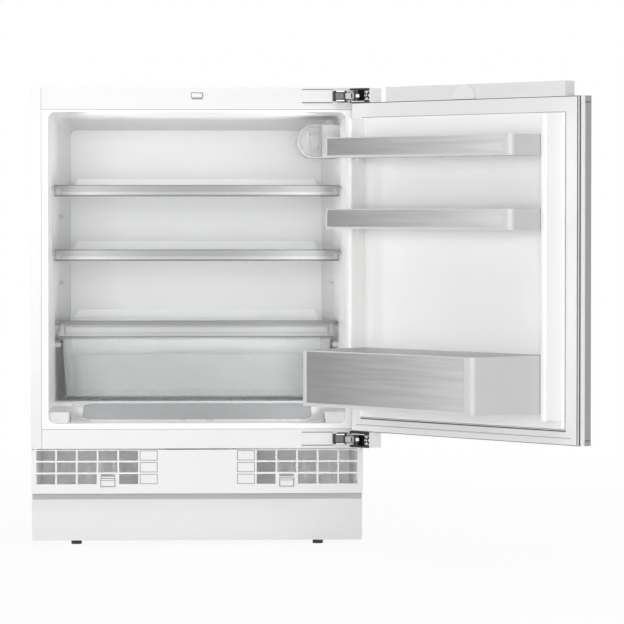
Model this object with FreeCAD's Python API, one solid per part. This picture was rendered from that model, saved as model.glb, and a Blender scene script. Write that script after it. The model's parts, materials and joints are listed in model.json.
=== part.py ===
import FreeCAD, Part
import math
import os

# Built-in under-counter refrigerator, millimetres.
# X runs to the right, Y into the cabinet, Z up. The cabinet front is the plane Y = 0.
# Heights are counted with the feet turned in, and FEET_OUT lifts the whole object.
# The door is modelled shut and then swung open about its hinge pins.

V = FreeCAD.Vector
os.makedirs("parts", exist_ok=True)

# Clearances
SLIDE_GAP = 0.3
RUN_GAP = 0.05
TRIM_GAP = 0.4
OVERCUT = 1.0

# Cabinet
FEET_OUT = 5.0
WIDTH = 598.0
TOP = 820.0
DEPTH = 500.0
BODY_Z = 171.0
STEP_RISE = 34.0
STEP_Y = 175.0
SHEET = 1.0
FLANGE = 19.2
SEAM = 0.8
TRIM_T = 2.0
WORKTOP_HOLE_X = 200.0
WORKTOP_HOLE_Y = 40.0
WORKTOP_HOLE_R = 2.25
SCREW_ROOM_R = 4.0
SCREW_ROOM = 15.0
HALF = WIDTH / 2
INNER_HALF = HALF - SHEET
TRIM_HALF = HALF - FLANGE - SEAM
REAR_Z = BODY_Z + STEP_RISE

# Opening and liner: the cavity narrows towards the back and its floor climbs a ramp
LINER_T = 2.0
SIDE_WALL = 31.5
TOP_WALL = 44.0
SILL = 45.0
BACK_WALL = 60.0
UPPER_RIM = 4.5
LOWER_RIM = 10.0
CORNER_R = 12.0
SIDE_DRAFT = 9.5
CEILING_DRAFT = 6.0
BACK_RUN = 90.0
BACK_SLOPE = 17.0
RAMP_Y0 = 12.0
RAMP_RUN = 138.0
RAMP_RISE = 30.0
OPEN_HALF = HALF - SIDE_WALL
OPEN_Z0 = BODY_Z + SILL
OPEN_Z1 = TOP - TOP_WALL
BACK_Y = DEPTH - BACK_WALL
TAPER_Y = BACK_Y - BACK_RUN
TAPER_HALF = OPEN_HALF - SIDE_DRAFT
BACK_HALF = TAPER_HALF - BACK_SLOPE
TAPER_CEILING = OPEN_Z1 - CEILING_DRAFT
BACK_CEILING = TAPER_CEILING - BACK_SLOPE
RAMP_Y1 = RAMP_Y0 + RAMP_RUN
FLOOR_Z = OPEN_Z0 + RAMP_RISE
FASCIA_TOP_Z = OPEN_Z1 + UPPER_RIM
FASCIA_LOW_Z = OPEN_Z0 - LOWER_RIM

# Drain and evaporator
DRAIN_X = 0.0
DRAIN_R = 7.0
DRAIN_WALL = 1.5
DRAIN_BACK = 15.0
DRAIN_DROP = 13.0
DRAIN_Y = BACK_Y - DRAIN_BACK
EVAPORATOR_W = 380.0
EVAPORATOR_H = 270.0
EVAPORATOR_DROP = 53.0
EVAPORATOR_T = 1.5
CHANNEL_PITCH = 40.0
CHANNEL_W = 7.0
CHANNEL_H = 3.5
CHANNEL_INSET = 20.0
CHANNEL_COUNT = 6

# Light switch
SWITCH_X = 0.0
BUTTON_HALF = 9.5
BUTTON_H = 8.0
BUTTON_DROP = 10.0
BUTTON_TIP = 5.0
BUTTON_LENGTH = 17.0
BUTTON_R = 1.5
SWITCH_WALL = 5.0
SWITCH_DEPTH = 30.0
BUTTON_Z1 = TOP - BUTTON_DROP
BUTTON_Z0 = BUTTON_Z1 - BUTTON_H

# Drawer
DRAWER_RISE = 8.0
DRAWER_H = 108.0
DRAWER_Y0 = 185.0
DRAWER_BACK_GAP = 16.0
DRAWER_SIDE_GAP = 11.5
DRAWER_WALL = 2.5
DRAWER_TAPER = 0.0517
DRAWER_LEAN = 8.0
DRAWER_FRONT_LEAN = 3.0
DRAWER_REAR_LEAN = 4.0
DRAWER_R = 12.0
REAR_WALL_H = 70.0
LIP_DROP = 7.0
LIP_T = 3.0
LIP_BEARING = 3.0
LIP_ROOT = 6.5
LIP_SETBACK = 17.0
LIP_END = 28.0
RUNNER_T = 7.5
RUNNER_GAP = 1.0
RUNNER_INSET = 5.0
DRAWER_Z0 = FLOOR_Z + DRAWER_RISE
DRAWER_Z1 = DRAWER_Z0 + DRAWER_H
DRAWER_Y1 = BACK_Y - DRAWER_BACK_GAP
LIP_Z = DRAWER_Z1 - LIP_DROP

# Shelves
GLASS_T = 4.0
GLASS_GAP = 2.8
SHELF_Y0 = 115.0
SHELF_BACK_GAP = 15.0
UPPER_SHELF_DROP = 113.0
LOWER_SHELF_RISE = 6.5
SPARE_LEDGE_RISE = 10.0
SPARE_LEDGE_L = 42.0
LEDGE_REACH = 15.5
LEDGE_T = 6.0
LEDGE_BACK = 22.0
LEDGE_SETBACK = 8.0
STOP_H = 15.0
STOP_T = 4.0
STOP_SLANT = 8.0
STOP_GAP = 7.0
GRIP = 6.0
GRIP_T = 2.0
FRONT_RAIL_T = 4.0
FRONT_RAIL_DROP = 15.0
FRONT_RAIL_GAP = 4.0
COVER_RISE = 29.0
COVER_SHELF_Y0 = 186.0
COVER_LIP_DROP = 27.0
COVER_LIP_GAP = 6.5
SHELF_Y1 = BACK_Y - SHELF_BACK_GAP
COVER_SHELF_Z = DRAWER_Z1 + COVER_RISE
UPPER_SHELF_Z = BACK_CEILING - UPPER_SHELF_DROP
LOWER_SHELF_Z = (COVER_SHELF_Z + UPPER_SHELF_Z) / 2 + LOWER_SHELF_RISE

# Floor tray and sill blocks
TRAY_GAP = 39.0
TRAY_T = 4.0
TRAY_R = 4.0
TRAY_RIM = 20.5
TRAY_END_RIM = 10.0
TRAY_FLOOR = 1.5
TRAY_RECESS_R = 24.0
BLOCK_GAP = 1.5
BLOCK_Y0 = 16.0
BLOCK_L = 50.0
BLOCK_H = 20.0
BLOCK_R = 5.0

# Lamp unit on the right wall
LAMP_REACH = 81.5
LAMP_DROP = 19.0
LAMP_H = 61.0
LAMP_Y0 = 150.0
LAMP_L = 140.0
LAMP_WALL = 4.0
LAMP_POCKET = 48.0
LENS_W = 42.0
LENS_T = 3.0
LENS_RIM = 2.0
LENS_SPIGOT = 6.0
LENS_RIBS = 5
RIB_HALF = 1.0
BULB_IN = 24.0
BULB_R = 11.0
BULB_SOCKET_R = 15.0
KNOB_IN = 60.0
KNOB_R = 13.0
KNOB_T = 12.0
KNOB_FLUTES = 8
FLUTE_R = 1.8
POINTER_L = 10.0
POINTER_W = 1.4
POINTER_DEPTH = 0.8
SHAFT_R = 3.0
SHAFT_L = 12.0
LAMP_X0 = OPEN_HALF - LAMP_REACH
LAMP_Z1 = OPEN_Z1 - LAMP_DROP
LAMP_Z = LAMP_Z1 - LAMP_H / 2
LENS_X1 = LAMP_X0 + LENS_W
KNOB_X = LAMP_X0 + KNOB_IN
BULB_X = LAMP_X0 + BULB_IN

# Door, measured from its hinge edge (u), outward from the seal (t) and inward (p = -t)
HINGE_SIDE = 19.0
FREE_SIDE = 21.0
DOOR_DROP = 28.0
DOOR_OVERLAP = 2.0
DOOR_GAP = 0.5
DOOR_T = 34.5
SKIN_T0 = 18.5
FRAME_T0 = 9.0
SEAL_W = 26.0
SEAL_EDGE = 1.0
SEAL_R = 3.0
GROOVE_T0 = 6.0
GROOVE_W = 1.2
GROOVE_DEPTH = 2.0
FRAME_OVERLAP = 4.0
DOOR_EDGE_R = 1.5
OPEN_ANGLE = 130.0
DOOR_EDGE_X = HALF - HINGE_SIDE
DOOR_W = WIDTH - HINGE_SIDE - FREE_SIDE
DOOR_Z0 = FASCIA_LOW_Z - DOOR_OVERLAP
DOOR_Z1 = TOP - DOOR_DROP

# Door liner
PAN_GAP = 0.6
PAN_WALL = 2.0
PAN_P = 6.0
PAN_R = 4.0
DYKE_P = 40.0
DYKE_R = 5.0
DYKE_LOW = 43.0
DYKE_HIGH = 31.0
NEAR_DYKE_U0 = 28.5
NEAR_DYKE_W = 14.5
NEAR_DYKE_SLOPE = 3.5
FAR_DYKE_IN = 29.0
FAR_DYKE_W = 20.0
FAR_DYKE_SLOPE = 7.0
DYKE_ROOT_P = 2.0
NEAR_DYKE_U1 = NEAR_DYKE_U0 + NEAR_DYKE_W
FAR_DYKE_U1 = DOOR_W - FAR_DYKE_IN
FAR_DYKE_U0 = FAR_DYKE_U1 - FAR_DYKE_W

# Door bins
BIN_GAP = 0.5
BIN_BACK_GAP = 1.0
BIN_WALL = 2.5
BIN_FRONT_WALL = 4.5
BIN_R = 9.0
BIN_H = 35.5
BIN_REACH = 107.0
BIN_IN = 1.0
UPPER_BIN_DROP = 100.0
BIN_PITCH = 125.0
BOTTOM_BIN_RISE = 55.0
BOTTOM_BIN_H = 97.0
BOTTOM_BIN_REACH = 175.0
BOTTOM_IN_NEAR = 18.5
BOTTOM_IN_FAR = 22.5
BIN_NEAR_FRAME = 10.0
BIN_FAR_FRAME = 16.0
BIN_LOW_FRAME = 4.0
BOTTOM_NEAR_FRAME = 14.0
BOTTOM_FAR_FRAME = 20.0
BOTTOM_LOW_FRAME = 6.0
PLATE_T = 1.5
PLATE_GAP = 0.2
PLATE_TOP = 2.0
LUG_P0 = 18.0
LUG_L = 12.0
LUG_H = 5.0
LUG_REACH = 6.0
LUG_ROOT = 1.0
BIN_U0 = NEAR_DYKE_U1 + BIN_GAP
BIN_U1 = FAR_DYKE_U0 - BIN_GAP
BIN_P0 = PAN_P + BIN_BACK_GAP
BINS = {
    "upper": {
        "z0": DOOR_Z1 - UPPER_BIN_DROP,
        "height": BIN_H,
        "reach": BIN_REACH,
        "front": (BIN_U0 + BIN_IN, BIN_U1 - BIN_IN),
        "frame": (BIN_NEAR_FRAME, BIN_FAR_FRAME, BIN_LOW_FRAME),
    },
    "middle": {
        "z0": DOOR_Z1 - UPPER_BIN_DROP - BIN_PITCH,
        "height": BIN_H,
        "reach": BIN_REACH,
        "front": (BIN_U0 + BIN_IN, BIN_U1 - BIN_IN),
        "frame": (BIN_NEAR_FRAME, BIN_FAR_FRAME, BIN_LOW_FRAME),
    },
    "bottom": {
        "z0": DOOR_Z0 + BOTTOM_BIN_RISE,
        "height": BOTTOM_BIN_H,
        "reach": BOTTOM_BIN_REACH,
        "front": (BIN_U0 + BOTTOM_IN_NEAR, BIN_U1 - BOTTOM_IN_FAR),
        "frame": (BOTTOM_NEAR_FRAME, BOTTOM_FAR_FRAME, BOTTOM_LOW_FRAME),
    },
}

# Panel rail and switch tab on top of the door
RAIL_U0 = 78.0
RAIL_IN = 40.0
RAIL_T0 = 12.0
RAIL_H = 26.0
RAIL_WALL = 2.0
RAIL_R = 1.5
PANEL_HOLE_PITCH = 300.0
PANEL_HOLE_RISE = 13.0
PANEL_HOLE_R = 2.5
TAB_R = 26.0
TAB_T0 = 5.0
TAB_T = 6.5
RAIL_U1 = DOOR_W - RAIL_IN

# Hinges
PIN_IN = 12.0
PIN_OUT = 22.5
PIN_R = 3.0
LEAF_T0 = 6.0
LEAF_U0 = -14.0
LEAF_U1 = 42.0
LEAF_PLATE = 3.0
LEAF_CLEAR = 19.5
LEAF_BEVEL = 4.0
UPPER_BASE = 3.0
LOWER_BASE = 6.0
ADJUSTER_U0 = 18.0
ADJUSTER_U1 = 40.0
ADJUSTER_T0 = 20.0
ARM_GAP = 0.5
KNUCKLE_R = 6.5
NECK_HALF = 5.0
NECK_INSET = 3.0
BLOCK_FROM_PIN = 41.0
BLOCK_W = 22.0
BLOCK_T = 14.0
ARM_FOOT_T = 1.4
COVER_W = 56.0
COVER_T = 3.2
COVER_WALL = 1.7
COVER_MARGIN = 2.0
COVER_R = 1.2
PIN_X = HALF - PIN_IN
PIN_Y = -PIN_OUT

# Plinth
GRILLE_GAP = 0.5
GRILLE_Y0 = 1.0
GRILLE_T = 2.5
GRILLE_H = 79.0
GRILLE_DROP = 2.0
GRILLE_WING = 2.0
GRILLE_SHELF = 1.6
CELL_EDGE = 8.9
CELL_W = 34.0
CELL_H = 18.0
CELL_BAR = 3.2
CELL_HEAD = 1.6
CELL_COLUMNS = 5
CELL_ROWS = 3
BLIND_DEPTH = 0.8
BLIND_TRIM = 2.0
LATCH_COLUMN = 3
LATCH_HALF = 13.0
LATCH_H = 16.0
LATCH_RISE = 12.2
LATCH_SLOT = 22.8
LATCH_PROUD = 1.5
LATCH_FLANGE = 3.5
LATCH_FLANGE_T = 2.0
LATCH_GRIP = 4.0
LATCH_LIP = 6.0
KICK_Z0 = 4.0
KICK_GAP = 2.0
KICK_IN = 1.5
KICK_Y = 20.0
KICK_T = 2.0
BASE_Y = 45.0
GRILLE_HALF = HALF - GRILLE_GAP
GRILLE_Z1 = BODY_Z - GRILLE_DROP
GRILLE_Z0 = GRILLE_Z1 - GRILLE_H
KICK_Z1 = GRILLE_Z0 - KICK_GAP
KICK_HALF = HALF - KICK_IN

# Base and feet
PAN_Z = 12.0
PAN_T = 2.0
BASE_WALL = 2.0
BEARER_W = 22.0
FOOT_IN = 80.0
FOOT_SETBACK = 10.0
REAR_FOOT_IN = 45.0
FOOT_PAD_R = 9.5
FOOT_PAD_GAP = 1.0
FOOT_STEM_R = 5.0
FOOT_STEM_TOP = 62.0
SLEEVE_R = 9.0
SLEEVE_TOP = 52.0
VENT_W = 12.0
VENT_H = 60.0
VENT_PITCH = 24.0
VENT_COUNT = 6
VENT_EDGE = 24.0
VENT_RISE = 40.0
FOOT_X = HALF - FOOT_IN
FOOT_YS = {"front": BASE_Y + FOOT_SETBACK, "rear": DEPTH - REAR_FOOT_IN}
PAN_TOP = PAN_Z + PAN_T

# Cooling machine
COMP_BACK = 140.0
COMP_R = 72.0
COMP_FOOT_R = 56.0
COMP_TOP_R = 34.0
COMP_BEVEL_H = 20.0
COMP_WALL_H = 62.0
COMP_SHOULDER_R = 60.0
COMP_SHOULDER_H = 36.0
COMP_SEAM = 3.0
COMP_SEAM_H = 4.0
COMP_PLATE_HALF = 100.0
COMP_PLATE_DEPTH = 130.0
COMP_PLATE_T = 4.0
GROMMET_R = 11.0
GROMMET_H = 12.0
GROMMET_INSET = 13.0
TERMINAL_W = 28.0
TERMINAL_D = 52.0
TERMINAL_H = 40.0
TERMINAL_PAD = 6.0
DRIP_W = 190.0
DRIP_D = 160.0
DRIP_GAP = 3.0
DRIP_WALL = 2.0
DRIP_R = 10.0
CONDENSER_Y = 150.0
CONDENSER_W = 180.0
CONDENSER_D = 44.0
CONDENSER_H = 120.0
FIN_COUNT = 15
FIN_T = 2.0
FIN_OUT = 6.0
FAN_Y0 = 95.0
FAN_D = 25.0
FAN_HALF = 62.0
FAN_BORE_R = 54.0
FAN_ARM_T = 4.0
FAN_ARM_HALF = 3.0
FAN_MOTOR_R = 19.0
FAN_MOTOR_T = 6.0
ROTOR_R = 17.0
ROTOR_INSET = 2.0
BLADE_T = 2.4
BLADE_W = 16.0
BLADE_TIP_GAP = 4.0
BLADE_PITCH = 38.0
BLADE_COUNT = 5
COMP_Y = DEPTH - COMP_BACK


def box(x0, x1, y0, y1, z0, z1):
    return Part.makeBox(x1 - x0, y1 - y0, z1 - z0, V(x0, y0, z0))


def cyl_z(x, y, r, z0, z1):
    return Part.makeCylinder(r, z1 - z0, V(x, y, z0), V(0, 0, 1))


def cyl_y(x, z, r, y0, y1):
    return Part.makeCylinder(r, y1 - y0, V(x, y0, z), V(0, 1, 0))


def prism_x(points, x0, x1):
    wire = Part.makePolygon([V(x0, y, z) for y, z in points + points[:1]])
    return Part.Face(wire).extrude(V(x1 - x0, 0, 0))


def prism_y(points, y0, y1):
    wire = Part.makePolygon([V(x, y0, z) for x, z in points + points[:1]])
    return Part.Face(wire).extrude(V(0, y1 - y0, 0))


def prism_z(points, z0, z1):
    wire = Part.makePolygon([V(x, y, z0) for x, y in points + points[:1]])
    return Part.Face(wire).extrude(V(0, 0, z1 - z0))


def frustum(low, high):
    """Solid between two four-cornered sections with parallel sides, anticlockwise seen from the high end."""
    caps = (low[::-1], high)
    faces = [Part.Face(Part.makePolygon(section + section[:1])) for section in caps]
    for i in range(4):
        j = (i + 1) % 4
        faces.append(Part.Face(Part.makePolygon([low[i], low[j], high[j], high[i], low[i]])))
    return Part.makeSolid(Part.makeShell(faces))


def mirror_x(shape):
    return shape.mirror(V(0, 0, 0), V(1, 0, 0))


def join(*shapes):
    return shapes[0].fuse(list(shapes[1:])).removeSplitter()


def round_edges(shape, radius, chosen):
    edges = [edge for edge in shape.Edges if chosen(edge.BoundBox)]
    return shape.makeFillet(radius, edges)


def bevel_edges(shape, size, chosen):
    edges = [edge for edge in shape.Edges if chosen(edge.BoundBox)]
    return shape.makeChamfer(size, edges)


def upright(b):
    return b.XLength < 1e-4 and b.YLength < 1e-4


def rounded_plate_z(x0, x1, y0, y1, r, z0, z1):
    return round_edges(box(x0, x1, y0, y1, z0, z1), r, upright)


def put(node, *shapes):
    solids = [solid for shape in shapes for solid in shape.Solids]
    shape = solids[0] if len(solids) == 1 else Part.makeCompound(solids)
    shape = shape.copy()
    shape.translate(V(0, 0, FEET_OUT))
    shape.exportStep("parts/%s.step" % node)


def put_on_door(node, *shapes):
    swung = []
    for shape in shapes:
        turned = shape.copy()
        turned.rotate(V(PIN_X, PIN_Y, 0), V(0, 0, 1), OPEN_ANGLE)
        swung.append(turned)
    put(node, *swung)


def door_box(u0, u1, t0, t1, z0, z1):
    return box(DOOR_EDGE_X - u1, DOOR_EDGE_X - u0, -DOOR_GAP - t1, -DOOR_GAP - t0, z0, z1)


def door_ring(inset, t0, t1, width):
    """Frame round the door, inset from its edges."""
    outside = door_box(inset, DOOR_W - inset, t0, t1, DOOR_Z0 + inset, DOOR_Z1 - inset)
    return outside.cut(door_core(inset + width, t0 - OVERCUT, t1 + OVERCUT))


def door_core(inset, t0, t1):
    return door_box(inset, DOOR_W - inset, t0, t1, DOOR_Z0 + inset, DOOR_Z1 - inset)


def door_plan(points):
    """Plan points of the shut door from (u, p) pairs."""
    return [(DOOR_EDGE_X - u, -DOOR_GAP + p) for u, p in points]


def wall_half(y):
    """Half the width of the cavity at depth y."""
    if y <= TAPER_Y:
        return OPEN_HALF - SIDE_DRAFT * y / TAPER_Y
    return TAPER_HALF - BACK_SLOPE * (y - TAPER_Y) / BACK_RUN


# Liner

def cavity(grow, corner):
    low = OPEN_Z0 - grow
    levels = [
        (0.0, OPEN_HALF + grow, OPEN_Z1 + grow),
        (TAPER_Y, TAPER_HALF + grow, TAPER_CEILING + grow),
        (BACK_Y + grow, BACK_HALF + grow, BACK_CEILING + grow),
    ]
    sections = []
    for y, half, high in levels:
        sections.append([V(-half, y, low), V(half, y, low), V(half, y, high), V(-half, y, high)])
    pieces = []
    for front, back in zip(sections[:-1], sections[1:]):
        piece = frustum(back, front)
        if corner:
            piece = round_edges(piece, corner, lambda b: b.YLength > BACK_RUN / 2)
        pieces.append(piece)
    under = [
        (RAMP_Y0, low - OVERCUT),
        (RAMP_Y0, low),
        (RAMP_Y1, FLOOR_Z - grow),
        (DEPTH, FLOOR_Z - grow),
        (DEPTH, low - OVERCUT),
    ]
    return pieces[0].fuse(pieces[1]).cut(prism_x(under, -HALF, HALF))


room = cavity(0.0, CORNER_R)
liner_outside = cavity(LINER_T, CORNER_R + LINER_T)


def ledge(z_top, y0, y1, inner0, inner1, thick):
    plan = [(inner0, y0), (HALF, y0), (HALF, y1), (inner1, y1)]
    right = prism_z(plan, z_top - thick, z_top).common(room)
    return [right, mirror_x(right)]


def shelf_ledge(z_top, y0):
    inner = OPEN_HALF - LEDGE_REACH
    return ledge(z_top, y0, TAPER_Y + LEDGE_BACK, inner, inner, LEDGE_T)


DRAWER_HALF = wall_half(DRAWER_Y0) - DRAWER_SIDE_GAP
RUNNER_Y0 = DRAWER_Y0 + RUNNER_INSET
RUNNER_Y1 = DRAWER_Y1 - RUNNER_INSET
RUNNER_X0 = DRAWER_HALF + RUNNER_GAP
RUNNER_X1 = RUNNER_X0 - DRAWER_TAPER * (RUNNER_Y1 - RUNNER_Y0)

ledges = []
for z_top, z_below in ((UPPER_SHELF_Z, LOWER_SHELF_Z), (LOWER_SHELF_Z, COVER_SHELF_Z)):
    ledges += shelf_ledge(z_top, SHELF_Y0 + LEDGE_SETBACK)
    spare_z = (z_top + z_below) / 2 + SPARE_LEDGE_RISE
    ledges += shelf_ledge(spare_z, TAPER_Y + LEDGE_BACK - SPARE_LEDGE_L)
ledges += shelf_ledge(COVER_SHELF_Z, COVER_SHELF_Y0 + GRIP + LEDGE_SETBACK)
ledges += ledge(LIP_Z - SLIDE_GAP, RUNNER_Y0, RUNNER_Y1, RUNNER_X0, RUNNER_X1, RUNNER_T)

TRAY_HALF = OPEN_HALF - TRAY_GAP
sill_block = rounded_plate_z(
    TRAY_HALF + BLOCK_GAP, HALF, BLOCK_Y0, BLOCK_Y0 + BLOCK_L, BLOCK_R, OPEN_Z0, OPEN_Z0 + BLOCK_H
)
sill_block = sill_block.common(room)
rim = box(-TRIM_HALF, TRIM_HALF, 0, LINER_T, FASCIA_LOW_Z + TRIM_GAP, FASCIA_TOP_Z - TRIM_GAP)
drain_mouth = cyl_z(DRAIN_X, DRAIN_Y, DRAIN_R - DRAIN_WALL, FLOOR_Z - LINER_T - OVERCUT, FLOOR_Z + OVERCUT)
liner = join(liner_outside, rim).cut(room)
liner = join(liner, sill_block, mirror_x(sill_block), *ledges).cut(drain_mouth)
put("inner_liner", liner)

# Outer cabinet

shell = box(-HALF, HALF, 0, DEPTH, BODY_Z, TOP)
shell = shell.cut(box(-INNER_HALF, INNER_HALF, SHEET, DEPTH + OVERCUT, BODY_Z - OVERCUT, TOP - SHEET))
flange_x = HALF - FLANGE
shell = shell.cut(box(-flange_x, flange_x, -OVERCUT, SHEET + OVERCUT, BODY_Z - OVERCUT, TOP - SHEET))
for x in (-WORKTOP_HOLE_X, WORKTOP_HOLE_X):
    hole = cyl_z(x, WORKTOP_HOLE_Y, WORKTOP_HOLE_R, TOP - SHEET - OVERCUT, TOP + OVERCUT)
    shell = shell.cut(hole)
put("outer_shell", shell)

put("rear_panel", box(-INNER_HALF, INNER_HALF, DEPTH - SHEET, DEPTH, REAR_Z + SHEET, TOP - SHEET))

step = [
    (TRIM_T, BODY_Z),
    (STEP_Y, BODY_Z),
    (STEP_Y, REAR_Z),
    (DEPTH, REAR_Z),
    (DEPTH, REAR_Z + SHEET),
    (STEP_Y - SHEET, REAR_Z + SHEET),
    (STEP_Y - SHEET, BODY_Z + SHEET),
    (TRIM_T, BODY_Z + SHEET),
]
drain_bore = cyl_z(DRAIN_X, DRAIN_Y, DRAIN_R + RUN_GAP, REAR_Z - OVERCUT, FLOOR_Z)
put("bottom_plate", prism_x(step, -INNER_HALF, INNER_HALF).cut(drain_bore))

# Fascia strips, with the window of the light switch in the upper one

window = box(
    SWITCH_X - BUTTON_HALF - SLIDE_GAP,
    SWITCH_X + BUTTON_HALF + SLIDE_GAP,
    -OVERCUT,
    TRIM_T + BUTTON_LENGTH,
    BUTTON_Z0 - SLIDE_GAP,
    BUTTON_Z1 + SLIDE_GAP,
)
top_fascia = box(-TRIM_HALF, TRIM_HALF, 0, TRIM_T, FASCIA_TOP_Z, TOP - SHEET)
put("top_fascia", top_fascia.cut(window))
put("bottom_fascia", box(-TRIM_HALF, TRIM_HALF, 0, TRIM_T, BODY_Z, FASCIA_LOW_Z))

switch_body = box(
    SWITCH_X - BUTTON_HALF - SWITCH_WALL,
    SWITCH_X + BUTTON_HALF + SWITCH_WALL,
    TRIM_T,
    TRIM_T + SWITCH_DEPTH,
    BUTTON_Z0 - SWITCH_WALL,
    BUTTON_Z1 + SWITCH_WALL,
)
put("switch_housing", switch_body.cut(window))
button = box(
    SWITCH_X - BUTTON_HALF,
    SWITCH_X + BUTTON_HALF,
    -BUTTON_TIP,
    BUTTON_LENGTH - BUTTON_TIP,
    BUTTON_Z0,
    BUTTON_Z1,
)
button = bevel_edges(button, BUTTON_R, lambda b: b.YMax < -BUTTON_TIP + 1e-3)
put("switch_button", button)

# Evaporator behind the back wall, drain and foam

evap_y = BACK_Y + LINER_T
evap_x = EVAPORATOR_W / 2
evap_z1 = BACK_CEILING - EVAPORATOR_DROP
evap_z0 = evap_z1 - EVAPORATOR_H
evaporator = box(-evap_x, evap_x, evap_y, evap_y + EVAPORATOR_T, evap_z0, evap_z1)
channel_x = evap_x - CHANNEL_INSET
channel_y = evap_y + EVAPORATOR_T
channels = []
for index in range(CHANNEL_COUNT):
    z = evap_z0 + CHANNEL_INSET + index * CHANNEL_PITCH
    section = [
        (channel_y, z - CHANNEL_W / 2),
        (channel_y, z + CHANNEL_W / 2),
        (channel_y + CHANNEL_H, z + CHANNEL_W / 4),
        (channel_y + CHANNEL_H, z - CHANNEL_W / 4),
    ]
    channels.append(prism_x(section, -channel_x, channel_x))
    if index:
        side = channel_x if index % 2 else -channel_x + CHANNEL_W
        channels.append(box(side - CHANNEL_W, side, channel_y, channel_y + CHANNEL_H, z - CHANNEL_PITCH, z))
put("evaporator_plate", join(evaporator, *channels))

drain = cyl_z(DRAIN_X, DRAIN_Y, DRAIN_R, REAR_Z - DRAIN_DROP, FLOOR_Z - LINER_T)
drain_inside = cyl_z(DRAIN_X, DRAIN_Y, DRAIN_R - DRAIN_WALL, REAR_Z - DRAIN_DROP - OVERCUT, FLOOR_Z)
put("drain_tube", drain.cut(drain_inside))

foam = join(
    box(-INNER_HALF, INNER_HALF, TRIM_T, STEP_Y - SHEET, BODY_Z + SHEET, TOP - SHEET),
    box(-INNER_HALF, INNER_HALF, STEP_Y - SHEET, DEPTH - SHEET, REAR_Z + SHEET, TOP - SHEET),
)
pocket_depth = EVAPORATOR_T + CHANNEL_H
evap_pocket = box(-evap_x, evap_x, evap_y - OVERCUT, evap_y + pocket_depth, evap_z0, evap_z1)
foam_room = cavity(LINER_T, 0.0)
foam = foam.cut(foam_room).cut(evap_pocket).cut(drain_bore).cut(switch_body)
for x in (-WORKTOP_HOLE_X, WORKTOP_HOLE_X):
    foam = foam.cut(cyl_z(x, WORKTOP_HOLE_Y, SCREW_ROOM_R, TOP - SHEET - SCREW_ROOM, TOP))
put("insulation", foam)

# Glass shelves: pane, gripped by a front rail, with a raised stop along the rear edge

def shelf_pane(y0, z):
    plan = [(wall_half(y) - GLASS_GAP, y) for y in (y0, TAPER_Y, SHELF_Y1)]
    plan += [(-x, y) for x, y in reversed(plan)]
    return prism_z(plan, z, z + GLASS_T)


def rear_stop(z_glass):
    z = z_glass + GLASS_T
    low = BACK_HALF - STOP_GAP
    high = low - STOP_SLANT
    face = [(-low, z), (low, z), (high, z + STOP_H), (-high, z + STOP_H)]
    return prism_y(face, SHELF_Y1 - 2 * STOP_T, SHELF_Y1 - STOP_T)


def front_rail(y, z_glass):
    front = y - FRONT_RAIL_T
    profile = [
        (front, z_glass - FRONT_RAIL_DROP + SHEET),
        (y, z_glass - FRONT_RAIL_DROP),
        (y, z_glass - GRIP_T),
        (y + GRIP, z_glass - GRIP_T),
        (y + GRIP, z_glass),
        (y, z_glass),
        (y, z_glass + GLASS_T),
        (y + GRIP, z_glass + GLASS_T),
        (y + GRIP, z_glass + GLASS_T + SHEET),
        (y - SHEET, z_glass + GLASS_T + GRIP_T),
        (front, z_glass + GLASS_T),
    ]
    half = wall_half(front) - FRONT_RAIL_GAP
    return prism_x(profile, -half, half)


def cover_rail(y, z_glass):
    """Lip of the shelf over the drawer, hanging in front of the drawer's rim."""
    front = y - FRONT_RAIL_T
    low = z_glass - COVER_LIP_DROP
    profile = [
        (front, low),
        (front + LIP_T, low),
        (front + LIP_T, low + FRONT_RAIL_DROP),
        (y + GRIP, z_glass - GRIP_T),
        (y + GRIP, z_glass),
        (y, z_glass),
        (y, z_glass + GLASS_T),
        (y + GRIP, z_glass + GLASS_T),
        (y + GRIP, z_glass + GLASS_T + SHEET),
        (y - GRIP_T, z_glass + GLASS_T),
        (front, z_glass - LIP_T),
    ]
    half = wall_half(front) - COVER_LIP_GAP
    return prism_x(profile, -half, half)


for name, z in (("upper_shelf", UPPER_SHELF_Z), ("lower_shelf", LOWER_SHELF_Z)):
    put(name + "_glass", shelf_pane(SHELF_Y0, z))
    put(name + "_trims", front_rail(SHELF_Y0, z), rear_stop(z))

put("crisper_shelf_glass", shelf_pane(COVER_SHELF_Y0, COVER_SHELF_Z))
put("crisper_shelf_trims", cover_rail(COVER_SHELF_Y0, COVER_SHELF_Z), rear_stop(COVER_SHELF_Z))

# Drawer: tapered tub with a low rear wall and side lips on the runners

def drawer_section(half, y0, y1, z):
    rear = half - DRAWER_TAPER * (y1 - y0)
    return [V(-half, y0, z), V(half, y0, z), V(rear, y1, z), V(-rear, y1, z)]


def drawer_body(inset):
    low_y0 = DRAWER_Y0 + DRAWER_FRONT_LEAN + inset
    low_y1 = DRAWER_Y1 - DRAWER_REAR_LEAN - inset
    low = drawer_section(DRAWER_HALF - DRAWER_LEAN - inset, low_y0, low_y1, DRAWER_Z0 + inset)
    rim_z = DRAWER_Z1 + (OVERCUT if inset else 0.0)
    high = drawer_section(DRAWER_HALF - inset, DRAWER_Y0 + inset, DRAWER_Y1 - inset, rim_z)
    body = frustum(low, high)
    return round_edges(body, DRAWER_R - inset, lambda b: b.ZLength > DRAWER_H / 2)


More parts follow.
